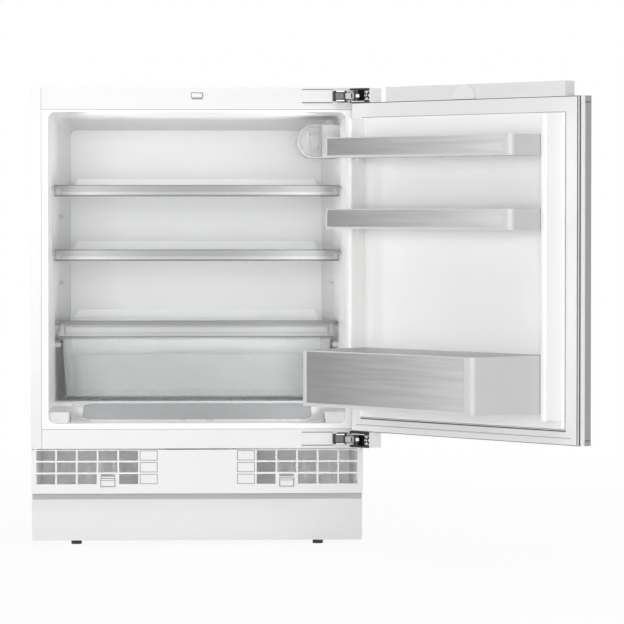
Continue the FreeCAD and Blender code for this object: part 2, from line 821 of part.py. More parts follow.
drawer = drawer_body(0.0).cut(drawer_body(DRAWER_WALL))
rear_cut = box(-HALF, HALF, DRAWER_Y1 - 2 * DRAWER_R, DEPTH, DRAWER_Z0 + REAR_WALL_H, TOP)
drawer = drawer.cut(rear_cut)
lip_y0 = DRAWER_Y0 + LIP_SETBACK
lip_y1 = DRAWER_Y1 - LIP_END
lip_x0 = RUNNER_X0 + LIP_BEARING - DRAWER_TAPER * (lip_y0 - RUNNER_Y0)
lip_x1 = RUNNER_X0 + LIP_BEARING - DRAWER_TAPER * (lip_y1 - RUNNER_Y0)
lip_plan = [(lip_x0 - LIP_ROOT, lip_y0), (lip_x0, lip_y0), (lip_x1, lip_y1), (lip_x1 - LIP_ROOT, lip_y1)]
lip = prism_z(lip_plan, LIP_Z, LIP_Z + LIP_T)
put("crisper_drawer", join(drawer, lip, mirror_x(lip)))

# Floor tray on the ramp

ramp_length = math.hypot(RAMP_RUN, RAMP_RISE)
ramp_angle = math.degrees(math.atan2(RAMP_RISE, RAMP_RUN))
tray_y1 = ramp_length - TRAY_R
tray = rounded_plate_z(-TRAY_HALF, TRAY_HALF, TRAY_FLOOR, tray_y1, TRAY_R, 0, TRAY_T)
recess_half = TRAY_HALF - TRAY_RIM
tray_recess = rounded_plate_z(
    -recess_half,
    recess_half,
    TRAY_FLOOR + TRAY_END_RIM,
    tray_y1 - TRAY_END_RIM,
    TRAY_RECESS_R,
    TRAY_FLOOR,
    TRAY_T + OVERCUT,
)
tray = tray.cut(tray_recess)
tray.rotate(V(0, 0, 0), V(1, 0, 0), ramp_angle)
tray.translate(V(0, RAMP_Y0, OPEN_Z0))
put("floor_tray", tray)

# Lamp unit, round at its free end, with the temperature knob on its front

def lamp_form(inset, y0, y1, x1):
    r = LAMP_H / 2 - inset
    x = LAMP_X0 + inset + r
    straight = box(x, x1, y0, y1, LAMP_Z - r, LAMP_Z + r)
    round_end = cyl_y(x, LAMP_Z, r, y0, y1).cut(box(x, x + 2 * r, y0, y1, LAMP_Z - r, LAMP_Z + r))
    return join(straight, round_end)


lamp_pocket = lamp_form(LAMP_WALL, LAMP_Y0 - OVERCUT, LAMP_Y0 + LAMP_POCKET, LENS_X1)
lamp_housing = lamp_form(0.0, LAMP_Y0, LAMP_Y0 + LAMP_L, HALF).common(room)
shaft_bore = cyl_y(KNOB_X, LAMP_Z, SHAFT_R + RUN_GAP, LAMP_Y0 - OVERCUT, LAMP_Y0 + SHAFT_L + OVERCUT)
put("lamp_housing", lamp_housing.cut(lamp_pocket).cut(shaft_bore))

lens_front = LAMP_Y0 - LENS_T
lens = lamp_form(LENS_RIM, lens_front, LAMP_Y0, LENS_X1 + LENS_RIM)
spigot_inset = LAMP_WALL + TRIM_GAP
spigot = lamp_form(spigot_inset, LAMP_Y0 - OVERCUT, LAMP_Y0 + LENS_SPIGOT, LENS_X1 - TRIM_GAP)
lens_room = lamp_form(
    spigot_inset + LENS_RIM, LAMP_Y0 - OVERCUT, LAMP_Y0 + LENS_SPIGOT + OVERCUT, LENS_X1 - TRIM_GAP - LENS_RIM
)
lens = join(lens, spigot).cut(lens_room)
rib_pitch = LENS_W / (2 * LENS_RIBS)
for index in range(LENS_RIBS):
    x = LENS_X1 - (index + 1) * rib_pitch
    rib = [
        (x - RIB_HALF, lens_front + RIB_HALF),
        (x + RIB_HALF, lens_front + RIB_HALF),
        (x, lens_front - RIB_HALF),
    ]
    lens = lens.fuse(prism_z(rib, LAMP_Z - LAMP_H / 3, LAMP_Z + LAMP_H / 3))
put("lamp_cover", lens.removeSplitter())

socket_y = LAMP_Y0 + LAMP_POCKET
lamp_module = join(
    cyl_y(BULB_X, LAMP_Z, BULB_SOCKET_R, socket_y - SHAFT_L, socket_y),
    cyl_y(BULB_X, LAMP_Z, BULB_R, socket_y - 3 * SHAFT_L, socket_y - SHAFT_L),
)
put("lamp_module", lamp_module)

knob = cyl_y(KNOB_X, LAMP_Z, KNOB_R, LAMP_Y0 - KNOB_T, LAMP_Y0 - TRIM_GAP)
for index in range(KNOB_FLUTES):
    angle = 2 * math.pi * index / KNOB_FLUTES
    x = KNOB_X + KNOB_R * math.cos(angle)
    z = LAMP_Z + KNOB_R * math.sin(angle)
    knob = knob.cut(cyl_y(x, z, FLUTE_R, LAMP_Y0 - KNOB_T - OVERCUT, LAMP_Y0 - LENS_T))
knob_front = LAMP_Y0 - KNOB_T
pointer = box(
    KNOB_X - POINTER_W / 2,
    KNOB_X + POINTER_W / 2,
    knob_front - OVERCUT,
    knob_front + POINTER_DEPTH,
    LAMP_Z,
    LAMP_Z + POINTER_L,
)
knob = knob.cut(pointer)
knob = join(knob, cyl_y(KNOB_X, LAMP_Z, SHAFT_R, LAMP_Y0 - OVERCUT, LAMP_Y0 + SHAFT_L))
put("thermostat_knob", knob)

# Door body: seal, frame, skin, foam and moulded inner liner

seal = door_core(SEAL_EDGE, 0, FRAME_T0)
seal = round_edges(seal, SEAL_R, lambda b: b.YMin > -DOOR_GAP - 1e-3)
seal = seal.cut(door_core(SEAL_EDGE + SEAL_W, -OVERCUT, FRAME_T0 + OVERCUT))
side_groove = door_ring(SEAL_EDGE - OVERCUT, GROOVE_T0, GROOVE_T0 + GROOVE_W, GROOVE_DEPTH + OVERCUT)
put_on_door("door_gasket", seal.cut(side_groove))

put_on_door("door_frame", door_ring(0.0, FRAME_T0, SKIN_T0, SEAL_W + FRAME_OVERLAP))

skin = round_edges(door_core(0.0, SKIN_T0, DOOR_T), DOOR_EDGE_R, upright)
skin = skin.cut(door_core(SHEET, SKIN_T0 - OVERCUT, DOOR_T - SHEET))
put_on_door("door_skin", skin)

filling = join(
    door_core(SHEET, SKIN_T0, DOOR_T - SHEET),
    door_core(SEAL_W + FRAME_OVERLAP, 0, SKIN_T0),
)
put_on_door("door_insulation", filling)

pan_inset = SEAL_EDGE + SEAL_W + PAN_GAP
pan = door_core(pan_inset, -PAN_P, FRAME_T0)
pan = round_edges(pan, PAN_R, lambda b: b.YMin > -DOOR_GAP + PAN_P - 1e-3)
pan = pan.cut(door_core(pan_inset + PAN_WALL, 0, FRAME_T0 + OVERCUT))


def dyke(points):
    shape = prism_z(door_plan(points), DOOR_Z0 + DYKE_LOW, DOOR_Z1 - DYKE_HIGH)
    crest_y = -DOOR_GAP + DYKE_P - 1e-3
    return round_edges(shape, DYKE_R, lambda b: b.YMin > crest_y and b.ZLength > 1)


dykes = [
    dyke([
        (NEAR_DYKE_U0, DYKE_ROOT_P),
        (NEAR_DYKE_U1, DYKE_ROOT_P),
        (NEAR_DYKE_U1, DYKE_P),
        (NEAR_DYKE_U0 + NEAR_DYKE_SLOPE, DYKE_P),
    ]),
    dyke([
        (FAR_DYKE_U0, DYKE_ROOT_P),
        (FAR_DYKE_U1, DYKE_ROOT_P),
        (FAR_DYKE_U1 - FAR_DYKE_SLOPE, DYKE_P),
        (FAR_DYKE_U0, DYKE_P),
    ]),
]
lugs = []
for spec in BINS.values():
    lug_z1 = spec["z0"] - SLIDE_GAP
    for edge_u, side in ((NEAR_DYKE_U1, 1), (FAR_DYKE_U0, -1)):
        root_u, tip_u = edge_u - side * LUG_ROOT, edge_u + side * LUG_REACH
        u0, u1 = min(root_u, tip_u), max(root_u, tip_u)
        lugs.append(door_box(u0, u1, -LUG_P0 - LUG_L, -LUG_P0, lug_z1 - LUG_H, lug_z1))
put_on_door("door_liner", join(pan, *dykes, *lugs))

# Bins: moulded tubs with metal plates let into their fronts

def bin_body(spec, inset, front_inset, z0, z1, radius):
    reach = spec["reach"] - front_inset
    f0, f1 = spec["front"]
    plan = [(BIN_U0 + inset, BIN_P0 + inset), (BIN_U0 + inset, DYKE_P)]
    plan += [(f0 + inset, reach), (f1 - inset, reach)]
    plan += [(BIN_U1 - inset, DYKE_P), (BIN_U1 - inset, BIN_P0 + inset)]
    shape = prism_z(door_plan(plan), z0, z1)
    front_y = -DOOR_GAP + reach - 1e-3
    return round_edges(shape, radius, lambda b: upright(b) and b.YMin > front_y)


for name, spec in BINS.items():
    z0 = spec["z0"]
    z1 = z0 + spec["height"]
    tub = bin_body(spec, 0, 0, z0, z1, BIN_R)
    tub = tub.cut(bin_body(spec, BIN_WALL, BIN_FRONT_WALL, z0 + BIN_WALL, z1 + OVERCUT, BIN_R - BIN_WALL))
    near_frame, far_frame, low_frame = spec["frame"]
    reach = spec["reach"]
    plate_u0 = spec["front"][0] + near_frame
    plate_u1 = spec["front"][1] - far_frame
    plate_z0 = z0 + low_frame
    plate_z1 = z1 - PLATE_TOP
    tub = tub.cut(door_box(plate_u0, plate_u1, -reach - OVERCUT, -reach + PLATE_T, plate_z0, plate_z1))
    put_on_door(name + "_bin_tray", tub)
    gap = PLATE_GAP
    front = door_box(plate_u0 + gap, plate_u1 - gap, -reach, -reach + PLATE_T, plate_z0 + gap, plate_z1 - gap)
    put_on_door(name + "_bin_front", front)

# Rail for the furniture panel and the half-round tab that presses the light switch

rail_z1 = DOOR_Z1 + RAIL_H
rail = door_box(RAIL_U0, RAIL_U1, RAIL_T0, DOOR_T, DOOR_Z1, rail_z1)
rail = round_edges(rail, RAIL_R, lambda b: b.ZMin > rail_z1 - 1e-3)
rail = rail.cut(door_box(
    RAIL_U0 + RAIL_WALL,
    RAIL_U1 - RAIL_WALL,
    RAIL_T0 + RAIL_WALL,
    DOOR_T - RAIL_WALL,
    DOOR_Z1 - OVERCUT,
    rail_z1 - RAIL_WALL,
))
outer_y = -DOOR_GAP - DOOR_T
for side in (-1, 1):
    hole_x = DOOR_EDGE_X - (RAIL_U0 + RAIL_U1) / 2 + side * PANEL_HOLE_PITCH / 2
    hole_z = DOOR_Z1 + PANEL_HOLE_RISE
    rail = rail.cut(cyl_y(hole_x, hole_z, PANEL_HOLE_R, outer_y - OVERCUT, outer_y + RAIL_WALL + OVERCUT))
put_on_door("panel_rail", rail)

tab = cyl_y(SWITCH_X, DOOR_Z1, TAB_R, -DOOR_GAP - TAB_T0 - TAB_T, -DOOR_GAP - TAB_T0)
tab = tab.cut(door_box(0, DOOR_W, 0, DOOR_T, DOOR_Z1 - TAB_R - OVERCUT, DOOR_Z1))
put_on_door("switch_tab", tab)

# Flat hinges: a channel on the door turns about a pin held by the arm on the cabinet

def level(face_z, up, a, b):
    """Heights a and b above the upper hinge face, or below the lower one, lowest first."""
    ends = (face_z + up * a, face_z + up * b)
    return min(ends), max(ends)


hinge_leaves = []
hinge_arms = []
hinge_pins = []
hinge_covers = []
for face_z, up, base_t in ((DOOR_Z1, 1, UPPER_BASE), (DOOR_Z0, -1, LOWER_BASE)):
    far = base_t + LEAF_CLEAR
    tip = far + LEAF_PLATE
    near_plate = door_box(LEAF_U0, LEAF_U1, LEAF_T0, DOOR_T, *level(face_z, up, 0, base_t))
    far_plate = door_box(LEAF_U0, LEAF_U1, LEAF_T0, DOOR_T, *level(face_z, up, far, tip))
    web = door_box(LEAF_U0, LEAF_U1, DOOR_T - LEAF_PLATE, DOOR_T, *level(face_z, up, 0, tip))
    channel_z = level(face_z, up, base_t, far)
    adjuster = door_box(ADJUSTER_U0, ADJUSTER_U1, ADJUSTER_T0, DOOR_T - SHEET, *channel_z)
    leaf = join(near_plate, far_plate, web, adjuster)
    inner_y = -DOOR_GAP - LEAF_T0 - 1e-3
    leaf = bevel_edges(leaf, LEAF_BEVEL, lambda b: upright(b) and b.YMax > inner_y)
    bore = cyl_z(PIN_X, PIN_Y, PIN_R + RUN_GAP, *level(face_z, up, -OVERCUT, tip + OVERCUT))
    hinge_leaves.append(leaf.cut(bore))

    arm_z0, arm_z1 = level(face_z, up, base_t + ARM_GAP, far - ARM_GAP)
    block_x0 = PIN_X - BLOCK_FROM_PIN
    block_x1 = block_x0 + BLOCK_W
    block = box(block_x0, block_x1, -BLOCK_T, 0, arm_z0, arm_z1)
    block = round_edges(block, LEAF_BEVEL, lambda b: upright(b) and b.YMax < -1)
    cover_x1 = block_x0 - COVER_MARGIN
    cover_x0 = cover_x1 - COVER_W
    foot = box(cover_x0 + 2 * COVER_MARGIN, block_x1, -ARM_FOOT_T, 0, arm_z0 + ARM_GAP, arm_z1 - ARM_GAP)
    neck_x0 = block_x1 - LEAF_BEVEL - NECK_HALF
    neck_plan = [
        (neck_x0, -ARM_FOOT_T),
        (block_x1, -ARM_FOOT_T),
        (PIN_X + NECK_HALF * 0.6, PIN_Y + NECK_HALF * 0.8),
        (PIN_X - NECK_HALF * 0.6, PIN_Y - NECK_HALF * 0.8),
        (neck_x0, -BLOCK_T + SHEET),
    ]
    neck = prism_z(neck_plan, arm_z0 + NECK_INSET, arm_z1 - NECK_INSET)
    arm = join(block, foot, neck, cyl_z(PIN_X, PIN_Y, KNUCKLE_R, arm_z0, arm_z1))
    hinge_arms.append(arm.cut(bore))

    hinge_pins.append(cyl_z(PIN_X, PIN_Y, PIN_R, *level(face_z, up, ARM_GAP, tip - SLIDE_GAP)))

    cover = box(cover_x0, cover_x1, -COVER_T, 0, arm_z0 - COVER_MARGIN, arm_z1 + COVER_MARGIN)
    cover = bevel_edges(cover, COVER_R, lambda b: b.YMax < -COVER_T + 1e-3)
    room_under = box(cover_x0 + COVER_MARGIN, PIN_X, COVER_WALL - COVER_T, OVERCUT, arm_z0, arm_z1)
    hinge_covers.append(cover.cut(room_under))
put_on_door("hinge_leaves", *hinge_leaves)
put("hinge_arms", *hinge_arms)
put("hinge_pins", *hinge_pins)
put("hinge_covers", *hinge_covers)

# Base: pan with side plates, vented rear wall and foot sleeves under the cabinet

base_side = box(HALF - BASE_WALL, HALF, BASE_Y, DEPTH, PAN_Z, BODY_Z)
bearer = box(HALF - BEARER_W, HALF, BASE_Y, STEP_Y, BODY_Z - BASE_WALL, BODY_Z)
base = join(
    box(-HALF, HALF, BASE_Y, DEPTH, PAN_Z, PAN_TOP),
    box(-HALF, HALF, DEPTH - BASE_WALL, DEPTH, PAN_Z, BODY_Z),
    base_side,
    mirror_x(base_side),
    bearer,
    mirror_x(bearer),
)
vents = []
for index in range(VENT_COUNT):
    x1 = HALF - VENT_EDGE - index * VENT_PITCH
    vent = box(x1 - VENT_W, x1, DEPTH - BASE_WALL - OVERCUT, DEPTH + OVERCUT, PAN_Z + VENT_RISE,
               PAN_Z + VENT_RISE + VENT_H)
    vents += [vent, mirror_x(vent)]
base = base.cut(Part.makeCompound(vents))
for foot_y in FOOT_YS.values():
    for x in (-FOOT_X, FOOT_X):
        base = join(base, cyl_z(x, foot_y, SLEEVE_R, PAN_Z, SLEEVE_TOP))
        base = base.cut(cyl_z(x, foot_y, FOOT_STEM_R + RUN_GAP, PAN_Z - OVERCUT, SLEEVE_TOP + OVERCUT))
put("base_frame", base)

pad_z1 = PAN_Z - FOOT_PAD_GAP - FEET_OUT
for end, foot_y in FOOT_YS.items():
    for word, x in (("left", -FOOT_X), ("right", FOOT_X)):
        pad = cyl_z(x, foot_y, FOOT_PAD_R, -FEET_OUT, pad_z1)
        stem = cyl_z(x, foot_y, FOOT_STEM_R, pad_z1, FOOT_STEM_TOP)
        put("foot_%s_%s" % (end, word), join(pad, stem))

# Plinth grille: two fields of cells, blind columns, and a slot for each latch

grille_y1 = GRILLE_Y0 + GRILLE_T
wing = box(GRILLE_HALF - GRILLE_WING, GRILLE_HALF, GRILLE_Y0, BASE_Y, GRILLE_Z0, GRILLE_Z1)
grille = join(
    box(-GRILLE_HALF, GRILLE_HALF, GRILLE_Y0, grille_y1, GRILLE_Z0, GRILLE_Z1),
    box(-GRILLE_HALF, GRILLE_HALF, GRILLE_Y0, BASE_Y, GRILLE_Z0, GRILLE_Z0 + GRILLE_SHELF),
    wing,
    mirror_x(wing),
)
pitch_x = CELL_W + CELL_BAR
pitch_z = CELL_H + CELL_BAR
latch_x = -GRILLE_HALF + CELL_EDGE + LATCH_COLUMN * pitch_x + CELL_W / 2
latch_z0 = GRILLE_Z0 + LATCH_RISE
latch_z1 = latch_z0 + LATCH_H
cells = []
for column in range(CELL_COLUMNS + 1):
    for row in range(CELL_ROWS):
        x0 = -GRILLE_HALF + CELL_EDGE + column * pitch_x
        z1 = GRILLE_Z1 - CELL_HEAD - row * pitch_z
        if column == LATCH_COLUMN and row == CELL_ROWS - 1:
            reach = LATCH_HALF + SLIDE_GAP
            slot_z0 = latch_z0 - SLIDE_GAP
            slot_z1 = latch_z0 + LATCH_SLOT
            cell = box(latch_x - reach, latch_x + reach, 0, grille_y1 + OVERCUT, slot_z0, slot_z1)
        elif column == CELL_COLUMNS:
            cell = box(x0, x0 + CELL_W - BLIND_TRIM, 0, GRILLE_Y0 + BLIND_DEPTH, z1 - CELL_H, z1)
        else:
            cell = box(x0, x0 + CELL_W, 0, grille_y1 + OVERCUT, z1 - CELL_H, z1)
        cells += [cell, mirror_x(cell)]
put("plinth_grille", grille.cut(Part.makeCompound(cells)))

latch_y0 = GRILLE_Y0 - LATCH_PROUD
flange_y0 = grille_y1 + SLIDE_GAP
latch = join(
    box(latch_x - LATCH_HALF, latch_x + LATCH_HALF, latch_y0, flange_y0, latch_z0, latch_z1),
    box(
        latch_x - LATCH_HALF - LATCH_FLANGE,
        latch_x + LATCH_HALF + LATCH_FLANGE,
        flange_y0,
        flange_y0 + LATCH_FLANGE_T,
        latch_z0 - LATCH_FLANGE,
        latch_z1 + LATCH_FLANGE_T,
    ),
)
latch = latch.cut(box(
    latch_x - LATCH_HALF + LATCH_GRIP,
    latch_x + LATCH_HALF - LATCH_GRIP,
    latch_y0 - OVERCUT,
    latch_y0 + SHEET,
    latch_z0 + LATCH_GRIP,
    latch_z1 - LATCH_LIP,
))
put("grille_latch_left", latch)
put("grille_latch_right", mirror_x(latch))

kick_wing = box(KICK_HALF - KICK_T, KICK_HALF, KICK_Y, BASE_Y, KICK_Z0, KICK_Z1)
kick = box(-KICK_HALF, KICK_HALF, KICK_Y, KICK_Y + KICK_T, KICK_Z0, KICK_Z1)
put("toe_kick", join(kick, kick_wing, mirror_x(kick_wing)))

# Compressor on its plate and grommets, with the terminal box and the drip tray over it

plate_z0 = PAN_TOP + GROMMET_H
comp_z = plate_z0 + COMP_PLATE_T
wall_z0 = comp_z + COMP_BEVEL_H
wall_z1 = wall_z0 + COMP_WALL_H
shoulder_z = wall_z1 + COMP_SHOULDER_H
drip_z1 = REAR_Z - DRIP_GAP
drip_z0 = shoulder_z + COMP_R - COMP_SHOULDER_R
terminal_x = COMP_R + TERMINAL_PAD
axis = V(0, 0, 1)
compressor = join(
    Part.makeCone(COMP_FOOT_R, COMP_R, COMP_BEVEL_H, V(0, COMP_Y, comp_z), axis),
    cyl_z(0, COMP_Y, COMP_R, wall_z0, wall_z1),
    Part.makeCone(COMP_R, COMP_SHOULDER_R, COMP_SHOULDER_H, V(0, COMP_Y, wall_z1), axis),
    Part.makeCone(COMP_SHOULDER_R, COMP_TOP_R, drip_z0 - shoulder_z, V(0, COMP_Y, shoulder_z), axis),
    cyl_z(0, COMP_Y, COMP_R + COMP_SEAM, wall_z1 - COMP_SEAM_H, wall_z1),
    box(
        -COMP_PLATE_HALF,
        COMP_PLATE_HALF,
        COMP_Y - COMP_PLATE_DEPTH / 2,
        COMP_Y + COMP_PLATE_DEPTH / 2,
        plate_z0,
        comp_z,
    ),
    box(0, terminal_x, COMP_Y - TERMINAL_PAD, COMP_Y + TERMINAL_PAD, wall_z0, wall_z0 + TERMINAL_H),
)
put("compressor", compressor)
grommet_x = COMP_PLATE_HALF - GROMMET_INSET
grommet_y = COMP_PLATE_DEPTH / 2 - GROMMET_INSET
grommets = []
for x in (-grommet_x, grommet_x):
    for y in (COMP_Y - grommet_y, COMP_Y + grommet_y):
        grommets.append(cyl_z(x, y, GROMMET_R, PAN_TOP, plate_z0))
put("compressor_grommets", *grommets)
put("terminal_box", box(
    terminal_x,
    terminal_x + TERMINAL_W,
    COMP_Y - TERMINAL_D / 2,
    COMP_Y + TERMINAL_D / 2,
    wall_z0,
    wall_z0 + TERMINAL_H,
))

drip_x = DRIP_W / 2
drip_y0 = COMP_Y - DRIP_D / 2
drip_y1 = COMP_Y + DRIP_D / 2
wall = DRIP_WALL
drip = rounded_plate_z(-drip_x, drip_x, drip_y0, drip_y1, DRIP_R, drip_z0, drip_z1)
drip = drip.cut(rounded_plate_z(
    wall - drip_x,
    drip_x - wall,
    drip_y0 + wall,
    drip_y1 - wall,
    DRIP_R - wall,
    drip_z0 + wall,
    drip_z1 + OVERCUT,
))
put("drip_tray", drip)

# Finned condenser and its fan, in front of the compressor

condenser_x = CONDENSER_W / 2
condenser = box(
    -condenser_x,
    condenser_x,
    CONDENSER_Y + FIN_OUT,
    CONDENSER_Y + CONDENSER_D - FIN_OUT,
    PAN_TOP,
    PAN_TOP + CONDENSER_H - FIN_OUT,
)
fin_pitch = (CONDENSER_W - FIN_T) / (FIN_COUNT - 1)
fins = []
for index in range(FIN_COUNT):
    x0 = -condenser_x + index * fin_pitch
    fins.append(box(x0, x0 + FIN_T, CONDENSER_Y, CONDENSER_Y + CONDENSER_D, PAN_TOP, PAN_TOP + CONDENSER_H))
put("condenser", join(condenser, *fins))

fan_z = PAN_TOP + FAN_HALF + 2 * FAN_ARM_T
fan_y1 = FAN_Y0 + FAN_D
arm_y0 = fan_y1 - FAN_ARM_T
shroud = box(-FAN_HALF, FAN_HALF, FAN_Y0, fan_y1, PAN_TOP, fan_z + FAN_HALF)
shroud = shroud.cut(cyl_y(0, fan_z, FAN_BORE_R, FAN_Y0 - OVERCUT, fan_y1 + OVERCUT))
motor_y0 = fan_y1 - FAN_MOTOR_T
arm_reach = FAN_BORE_R + FAN_ARM_T
shroud = join(
    shroud,
    box(-arm_reach, arm_reach, arm_y0, fan_y1, fan_z - FAN_ARM_HALF, fan_z + FAN_ARM_HALF),
    box(-FAN_ARM_HALF, FAN_ARM_HALF, arm_y0, fan_y1, fan_z - arm_reach, fan_z + arm_reach),
    cyl_y(0, fan_z, FAN_MOTOR_R, motor_y0, fan_y1),
)
put("fan_shroud", shroud)

rotor_y0 = FAN_Y0 + ROTOR_INSET
rotor_y1 = motor_y0 - SLIDE_GAP
rotor = cyl_y(0, fan_z, ROTOR_R, rotor_y0, rotor_y1)
blade_y = (rotor_y0 + rotor_y1) / 2
blades = []
for index in range(BLADE_COUNT):
    blade = box(
        -BLADE_T / 2,
        BLADE_T / 2,
        blade_y - BLADE_W / 2,
        blade_y + BLADE_W / 2,
        fan_z + ROTOR_R - LIP_T,
        fan_z + FAN_BORE_R - BLADE_TIP_GAP,
    )
    blade.rotate(V(0, blade_y, fan_z), V(0, 0, 1), BLADE_PITCH)
    blade.rotate(V(0, blade_y, fan_z), V(0, 1, 0), index * 360 / BLADE_COUNT)
    blades.append(blade)
put("fan_rotor", join(rotor, *blades))
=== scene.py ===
import json
import math

import bmesh
import bpy
from mathutils import Euler, Matrix, Vector


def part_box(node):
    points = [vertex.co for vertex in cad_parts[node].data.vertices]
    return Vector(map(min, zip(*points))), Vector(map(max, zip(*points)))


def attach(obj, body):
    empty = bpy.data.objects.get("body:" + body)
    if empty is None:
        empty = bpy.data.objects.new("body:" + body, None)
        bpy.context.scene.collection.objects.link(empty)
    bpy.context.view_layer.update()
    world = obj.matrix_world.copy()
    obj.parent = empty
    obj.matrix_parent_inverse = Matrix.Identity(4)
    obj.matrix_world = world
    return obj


# Built-in refrigerator with its door open: materials, small fittings, light and camera, in metres.

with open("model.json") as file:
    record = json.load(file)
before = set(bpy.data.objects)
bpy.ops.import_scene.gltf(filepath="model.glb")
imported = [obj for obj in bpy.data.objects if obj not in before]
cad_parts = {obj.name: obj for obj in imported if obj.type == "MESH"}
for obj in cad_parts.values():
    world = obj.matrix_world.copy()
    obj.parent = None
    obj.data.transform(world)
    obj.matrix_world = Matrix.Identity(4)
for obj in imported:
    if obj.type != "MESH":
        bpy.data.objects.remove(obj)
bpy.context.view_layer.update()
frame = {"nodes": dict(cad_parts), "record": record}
nodes = frame["nodes"]
scene = bpy.context.scene

# Camera, found by fitting measured points of the photograph
CAMERA_PLACE = (-0.0249, -6.3726, 0.6058)
CAMERA_YAW = 2.08
CAMERA_PITCH = -1.654
CAMERA_LENS = 204.4
SENSOR = 36.0
VIEW_DISTANCE = 100.0

# Scales and strengths shared by the finishes
NOISE_LOW = 0.3
NOISE_HIGH = 0.7
CLOUD_SCALE = 9.0
CLOUD_GLOSS = 0.02
GRAIN_DETAIL = 2.0
COAT_ROUGH = 0.12
LINE_SCALE = 60.0
LINE_DETAIL = 6.0
LINE_GLOSS = 0.07
FINE_DEPTH = 0.0001
CRYSTAL_SCALE = 70.0
CRYSTAL_GLOSS = 0.08
SHEET_GRAIN = 300.0
SHEET_DETAIL = 3.0
SHEET_BUMP = 0.06
SHEET_DEPTH = 0.0002
CLEAR_CLOUD = 14.0
CLEAR_GRAIN = 500.0
CLEAR_VARY = 0.02
CLEAR_GLOSS = 0.2
ZONE_BUMP = 0.04
FRONT_ROUGH = 0.36
FRONT_STRETCH = (0.12, 0.12, 3.0)
FRONT_VARY = 0.05
FRONT_BUMP = 0.05


# Materials

def new_material(name):
    material = bpy.data.materials.new(name)
    material.use_nodes = True
    tree = material.node_tree
    shader = tree.nodes["Principled BSDF"]
    return material, tree, shader


def object_noise(tree, scale, detail=4.0, stretch=(1.0, 1.0, 1.0)):
    """Noise in object space, so that it stays on the piece."""
    coords = tree.nodes.new("ShaderNodeTexCoord")
    mapping = tree.nodes.new("ShaderNodeMapping")
    mapping.inputs["Scale"].default_value = stretch
    noise = tree.nodes.new("ShaderNodeTexNoise")
    noise.inputs["Scale"].default_value = scale
    noise.inputs["Detail"].default_value = detail
    tree.links.new(coords.outputs["Object"], mapping.inputs["Vector"])
    tree.links.new(mapping.outputs["Vector"], noise.inputs["Vector"])
    return noise.outputs["Fac"]


def ramp(tree, source, low, high, start=0.35, end=0.65):
    node = tree.nodes.new("ShaderNodeValToRGB")
    node.color_ramp.elements[0].position = start
    node.color_ramp.elements[1].position = end
    node.color_ramp.elements[0].color = (*low, 1.0)
    node.color_ramp.elements[1].color = (*high, 1.0)
    tree.links.new(source, node.inputs["Fac"])
    return node.outputs["Color"]


def map_range(tree, source, from_low, from_high, to_low, to_high):
    node = tree.nodes.new("ShaderNodeMapRange")
    node.inputs["From Min"].default_value = from_low
    node.inputs["From Max"].default_value = from_high
    node.inputs["To Min"].default_value = to_low
    node.inputs["To Max"].default_value = to_high
    tree.links.new(source, node.inputs["Value"])
    return node.outputs["Result"]


def tint(tree, shader, source, color, vary):
    tones = ramp(tree, source, shade(color, -vary), shade(color, vary))
    tree.links.new(tones, shader.inputs["Base Color"])


def gloss(tree, shader, source, low, high):
    rough = map_range(tree, source, NOISE_LOW, NOISE_HIGH, low, high)
    tree.links.new(rough, shader.inputs["Roughness"])


def add_bump(tree, shader, source, strength, distance):
    bump = tree.nodes.new("ShaderNodeBump")
    bump.inputs["Strength"].default_value = strength
    bump.inputs["Distance"].default_value = distance
    tree.links.new(source, bump.inputs["Height"])
    tree.links.new(bump.outputs["Normal"], shader.inputs["Normal"])


def shade(color, amount):
    return tuple(max(0.0, c * (1.0 + amount)) for c in color)


def object_axes(tree):
    """Coordinates of the piece, one output for each axis."""
    coords = tree.nodes.new("ShaderNodeTexCoord")
    axes = tree.nodes.new("ShaderNodeSeparateXYZ")
    tree.links.new(coords.outputs["Object"], axes.inputs["Vector"])
    return axes.outputs


def solid_finish(name, color, rough, grain, bump=0.05, depth=0.0002, vary=0.008, coat=0.0, metal=0.0):
    """Moulded plastic, paint or rubber: cloudy colour, uneven gloss and a fine surface grain."""
    material, tree, shader = new_material(name)
    cloud = object_noise(tree, CLOUD_SCALE)
    tint(tree, shader, cloud, color, vary)
    gloss(tree, shader, cloud, rough - CLOUD_GLOSS, rough + CLOUD_GLOSS)
    fine = object_noise(tree, grain, GRAIN_DETAIL)
    add_bump(tree, shader, fine, bump, depth)
    shader.inputs["Metallic"].default_value = metal
    shader.inputs["Coat Weight"].default_value = coat
    shader.inputs["Coat Roughness"].default_value = COAT_ROUGH
    return material


def brushed_finish(name, color, rough, stretch, vary=0.12, bump=0.12):
    """Metal with fine lines along one axis of the piece."""
    material, tree, shader = new_material(name)
    lines = object_noise(tree, LINE_SCALE, LINE_DETAIL, stretch)
    tint(tree, shader, lines, color, vary)
    gloss(tree, shader, lines, rough - LINE_GLOSS, rough + LINE_GLOSS)
    add_bump(tree, shader, lines, bump, FINE_DEPTH)
    shader.inputs["Metallic"].default_value = 1.0
    return material


